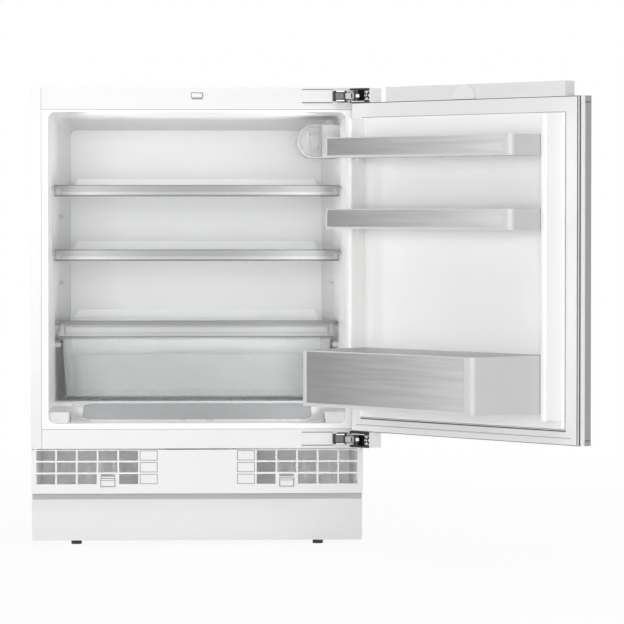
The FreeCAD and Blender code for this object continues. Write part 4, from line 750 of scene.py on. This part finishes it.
# Hoods over the vents in the rear wall of the base
VENT_COUNT = 6
VENT_EDGE = 0.024
VENT_PITCH = 0.024
VENT_W = 0.012
VENT_Z0 = 0.057
VENT_Z1 = 0.117
HOOD_LAP = 0.002
WALL_Y = 0.4980
HOOD = (
    (WALL_Y, VENT_Z1 + 0.004),
    (WALL_Y - 0.004, VENT_Z1 + 0.002),
    (WALL_Y - 0.008, VENT_Z1 - 0.004),
    (WALL_Y - 0.010, VENT_Z1 - 0.014),
    (WALL_Y - 0.010, VENT_Z0 - 0.006),
    (WALL_Y - 0.009, VENT_Z0 - 0.006),
    (WALL_Y - 0.009, VENT_Z1 - 0.014),
    (WALL_Y - 0.007, VENT_Z1 - 0.005),
    (WALL_Y - 0.003, VENT_Z1 + 0.001),
    (WALL_Y, VENT_Z1 + 0.003),
)
shell_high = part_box("outer_shell")[1]
hoods = bmesh.new()
for index in range(VENT_COUNT):
    for side in (-1, 1):
        middle_x = side * (shell_high.x - VENT_EDGE - VENT_PITCH * index - VENT_W / 2)
        hood_x = (middle_x - VENT_W / 2 - HOOD_LAP, middle_x + VENT_W / 2 + HOOD_LAP)
        skin_loops(hoods, [[Vector((x, y, z)) for y, z in HOOD] for x in hood_x])
piece("vent_hoods", hoods, "zinc_sheet", "cabinet")

# Mat in the hollow of the sloping floor tray
TRAY_RIM = 0.0205
TRAY_FLOOR = 0.0015
RAMP_RUN = 0.138
RAMP_RISE = 0.030
MAT_START = 0.0105
MAT_SHORT = 0.029
MAT_MARGIN = 0.002
MAT = (0.0016, 0.0225, 0.0006)
tray_low, tray_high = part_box("floor_tray")
mat_depth = math.hypot(RAMP_RUN, RAMP_RISE) - MAT_SHORT
mat_width = 2 * (tray_high.x - TRAY_RIM) - MAT_MARGIN
ramp_angle = math.atan2(RAMP_RISE, RAMP_RUN)
ramp_turn = Matrix.Translation((0.0, tray_low.y, tray_low.z)) @ Matrix.Rotation(ramp_angle, 4, "X")
mat_place = ramp_turn @ Matrix.Translation((0.0, MAT_START + mat_depth / 2, TRAY_FLOOR))
tray_mat = bmesh.new()
add_slab(tray_mat, (mat_width, mat_depth, *MAT), mat_place)
piece("tray_mat", tray_mat, "grey_plastic", "cabinet", "mat_grey")

# White surroundings, soft light, floor and camera
WHITE = (1.0, 1.0, 1.0, 1.0)
AMBIENT = 0.25
FLOOR_HALF = 30
FLOOR_COLOR = (0.85, 0.85, 0.85, 1.0)
FLOOR_ROUGH = 0.9
GLOW_SHARE = 0.93
FADE_START = 0.9
FADE_END = 2.6
ROOM_AIM_BACK = 0.2
ROOM_AIM_UP = 1.0
ROOM_LAMP_DEPTH = 0.20


def surroundings(tree):
    """One for rays from the camera and for those that mirror or pass through a surface, none for the rest."""
    path = tree.nodes.new("ShaderNodeLightPath")
    first = tree.nodes.new("ShaderNodeMath")
    first.operation = "MAXIMUM"
    second = tree.nodes.new("ShaderNodeMath")
    second.operation = "MAXIMUM"
    tree.links.new(path.outputs["Is Camera Ray"], first.inputs[0])
    tree.links.new(path.outputs["Is Glossy Ray"], first.inputs[1])
    tree.links.new(first.outputs["Value"], second.inputs[0])
    tree.links.new(path.outputs["Is Transmission Ray"], second.inputs[1])
    return second.outputs["Value"]


world = bpy.data.worlds.new("studio")
scene.world = world
world.use_nodes = True
sky = world.node_tree
background = sky.nodes["Background"]
background.inputs["Color"].default_value = WHITE
background.inputs["Strength"].default_value = AMBIENT
seen = sky.nodes.new("ShaderNodeBackground")
seen.inputs["Color"].default_value = WHITE
seen.inputs["Strength"].default_value = 1.0
mix = sky.nodes.new("ShaderNodeMixShader")
sky.links.new(surroundings(sky), mix.inputs["Fac"])
sky.links.new(background.outputs["Background"], mix.inputs[1])
sky.links.new(seen.outputs["Background"], mix.inputs[2])
sky.links.new(mix.outputs["Shader"], sky.nodes["World Output"].inputs["Surface"])


def soft_light(name, place, aim, size, watts, mirrored):
    """Area lamp that the camera does not see, and that shows in mirroring surfaces only where told."""
    data = bpy.data.lights.new(name, "AREA")
    data.shape = "RECTANGLE"
    data.size = size[0]
    data.size_y = size[1]
    data.energy = watts
    lamp = bpy.data.objects.new(name, data)
    lamp.location = place
    across, forward, up = (b - a for a, b in zip(place, aim))
    tilt = math.atan2(math.hypot(across, forward), -up)
    lamp.rotation_euler = Euler((tilt, 0.0, math.atan2(-across, forward)), "XYZ")
    lamp.visible_camera = False
    lamp.visible_glossy = mirrored
    lamp.visible_transmission = mirrored
    scene.collection.objects.link(lamp)


soft_light("front", (-0.5, -5.0, 0.6), (0.05, 0.0, 0.45), (2.6, 1.6), 89.0, True)
soft_light("left", (-3.0, -2.0, 0.9), (0.4, -0.3, 0.45), (1.8, 1.6), 28.0, True)
soft_light("right", (3.0, -3.2, 0.7), (0.2, -0.2, 0.45), (1.6, 1.4), 15.0, True)
soft_light("rear", (1.8, 5.0, 1.8), (0.0, 0.4, 0.4), (2.6, 1.6), 60.0, False)
soft_light("side", (4.5, 1.8, 1.3), (0.3, 0.25, 0.4), (2.0, 1.6), 45.0, False)
soft_light("over", (0.0, 1.2, 4.0), (0.0, 0.3, 0.8), (2.0, 1.6), 30.0, False)
soft_light("top", (0.0, -1.8, 2.8), (0.1, 0.0, 0.4), (2.0, 1.5), 23.0, True)
soft_light("inside_left", (-0.21, 0.035, 0.51), (0.26, 0.22, 0.51), (0.10, 0.50), 0.52, False)
soft_light("inside_right", (0.21, 0.035, 0.51), (-0.26, 0.22, 0.51), (0.10, 0.50), 0.66, False)
for name, y, height, width, watts in (
    ("top_room", 0.24, 0.652, 0.44, 0.37),
    ("middle_room", 0.24, 0.534, 0.44, 0.38),
    ("lower_room", 0.27, 0.403, 0.42, 0.34),
    ("drawer_room", 0.31, 0.272, 0.40, 0.44),
):
    room_aim = (0.0, y + ROOM_AIM_BACK, height + ROOM_AIM_UP)
    soft_light(name, (0.0, y, height), room_aim, (width, ROOM_LAMP_DEPTH), watts, False)
soft_light("machine_space", (0.0, 0.055, 0.13), (0.0, 0.4, 0.13), (0.54, 0.06), 0.80, False)

floor_corners = [(x * FLOOR_HALF, y * FLOOR_HALF, 0) for x, y in ((-1, -1), (1, -1), (1, 1), (-1, 1))]
floor_mesh = bpy.data.meshes.new("floor")
floor_mesh.from_pydata(floor_corners, [], [(0, 1, 2, 3)])
floor = bpy.data.objects.new("floor", floor_mesh)
scene.collection.objects.link(floor)
floor_material, floor_tree, floor_shader = new_material("floor_white")
floor_shader.inputs["Base Color"].default_value = FLOOR_COLOR
floor_shader.inputs["Roughness"].default_value = FLOOR_ROUGH
glow = floor_tree.nodes.new("ShaderNodeEmission")
glow.inputs["Strength"].default_value = 1.0
coords = floor_tree.nodes.new("ShaderNodeTexCoord")
reach = floor_tree.nodes.new("ShaderNodeVectorMath")
reach.operation = "LENGTH"
floor_tree.links.new(coords.outputs["Object"], reach.inputs[0])
fade = map_range(floor_tree, reach.outputs["Value"], FADE_START, FADE_END, GLOW_SHARE, 1.0)
share = floor_tree.nodes.new("ShaderNodeMath")
share.operation = "MULTIPLY"
floor_tree.links.new(surroundings(floor_tree), share.inputs[0])
floor_tree.links.new(fade, share.inputs[1])
floor_mix = floor_tree.nodes.new("ShaderNodeMixShader")
floor_tree.links.new(share.outputs["Value"], floor_mix.inputs["Fac"])
floor_tree.links.new(floor_shader.outputs["BSDF"], floor_mix.inputs[1])
floor_tree.links.new(glow.outputs["Emission"], floor_mix.inputs[2])
floor_tree.links.new(floor_mix.outputs["Shader"], floor_tree.nodes["Material Output"].inputs["Surface"])
floor_mesh.materials.append(floor_material)

camera_data = bpy.data.cameras.new("camera")
camera_data.lens = CAMERA_LENS
camera_data.sensor_width = SENSOR
camera_data.clip_end = VIEW_DISTANCE
camera = bpy.data.objects.new("camera", camera_data)
camera.location = CAMERA_PLACE
camera.rotation_euler = Euler((math.radians(90.0 + CAMERA_PITCH), 0.0, math.radians(-CAMERA_YAW)), "XYZ")
scene.collection.objects.link(camera)
scene.camera = camera
scene.view_settings.view_transform = "Standard"
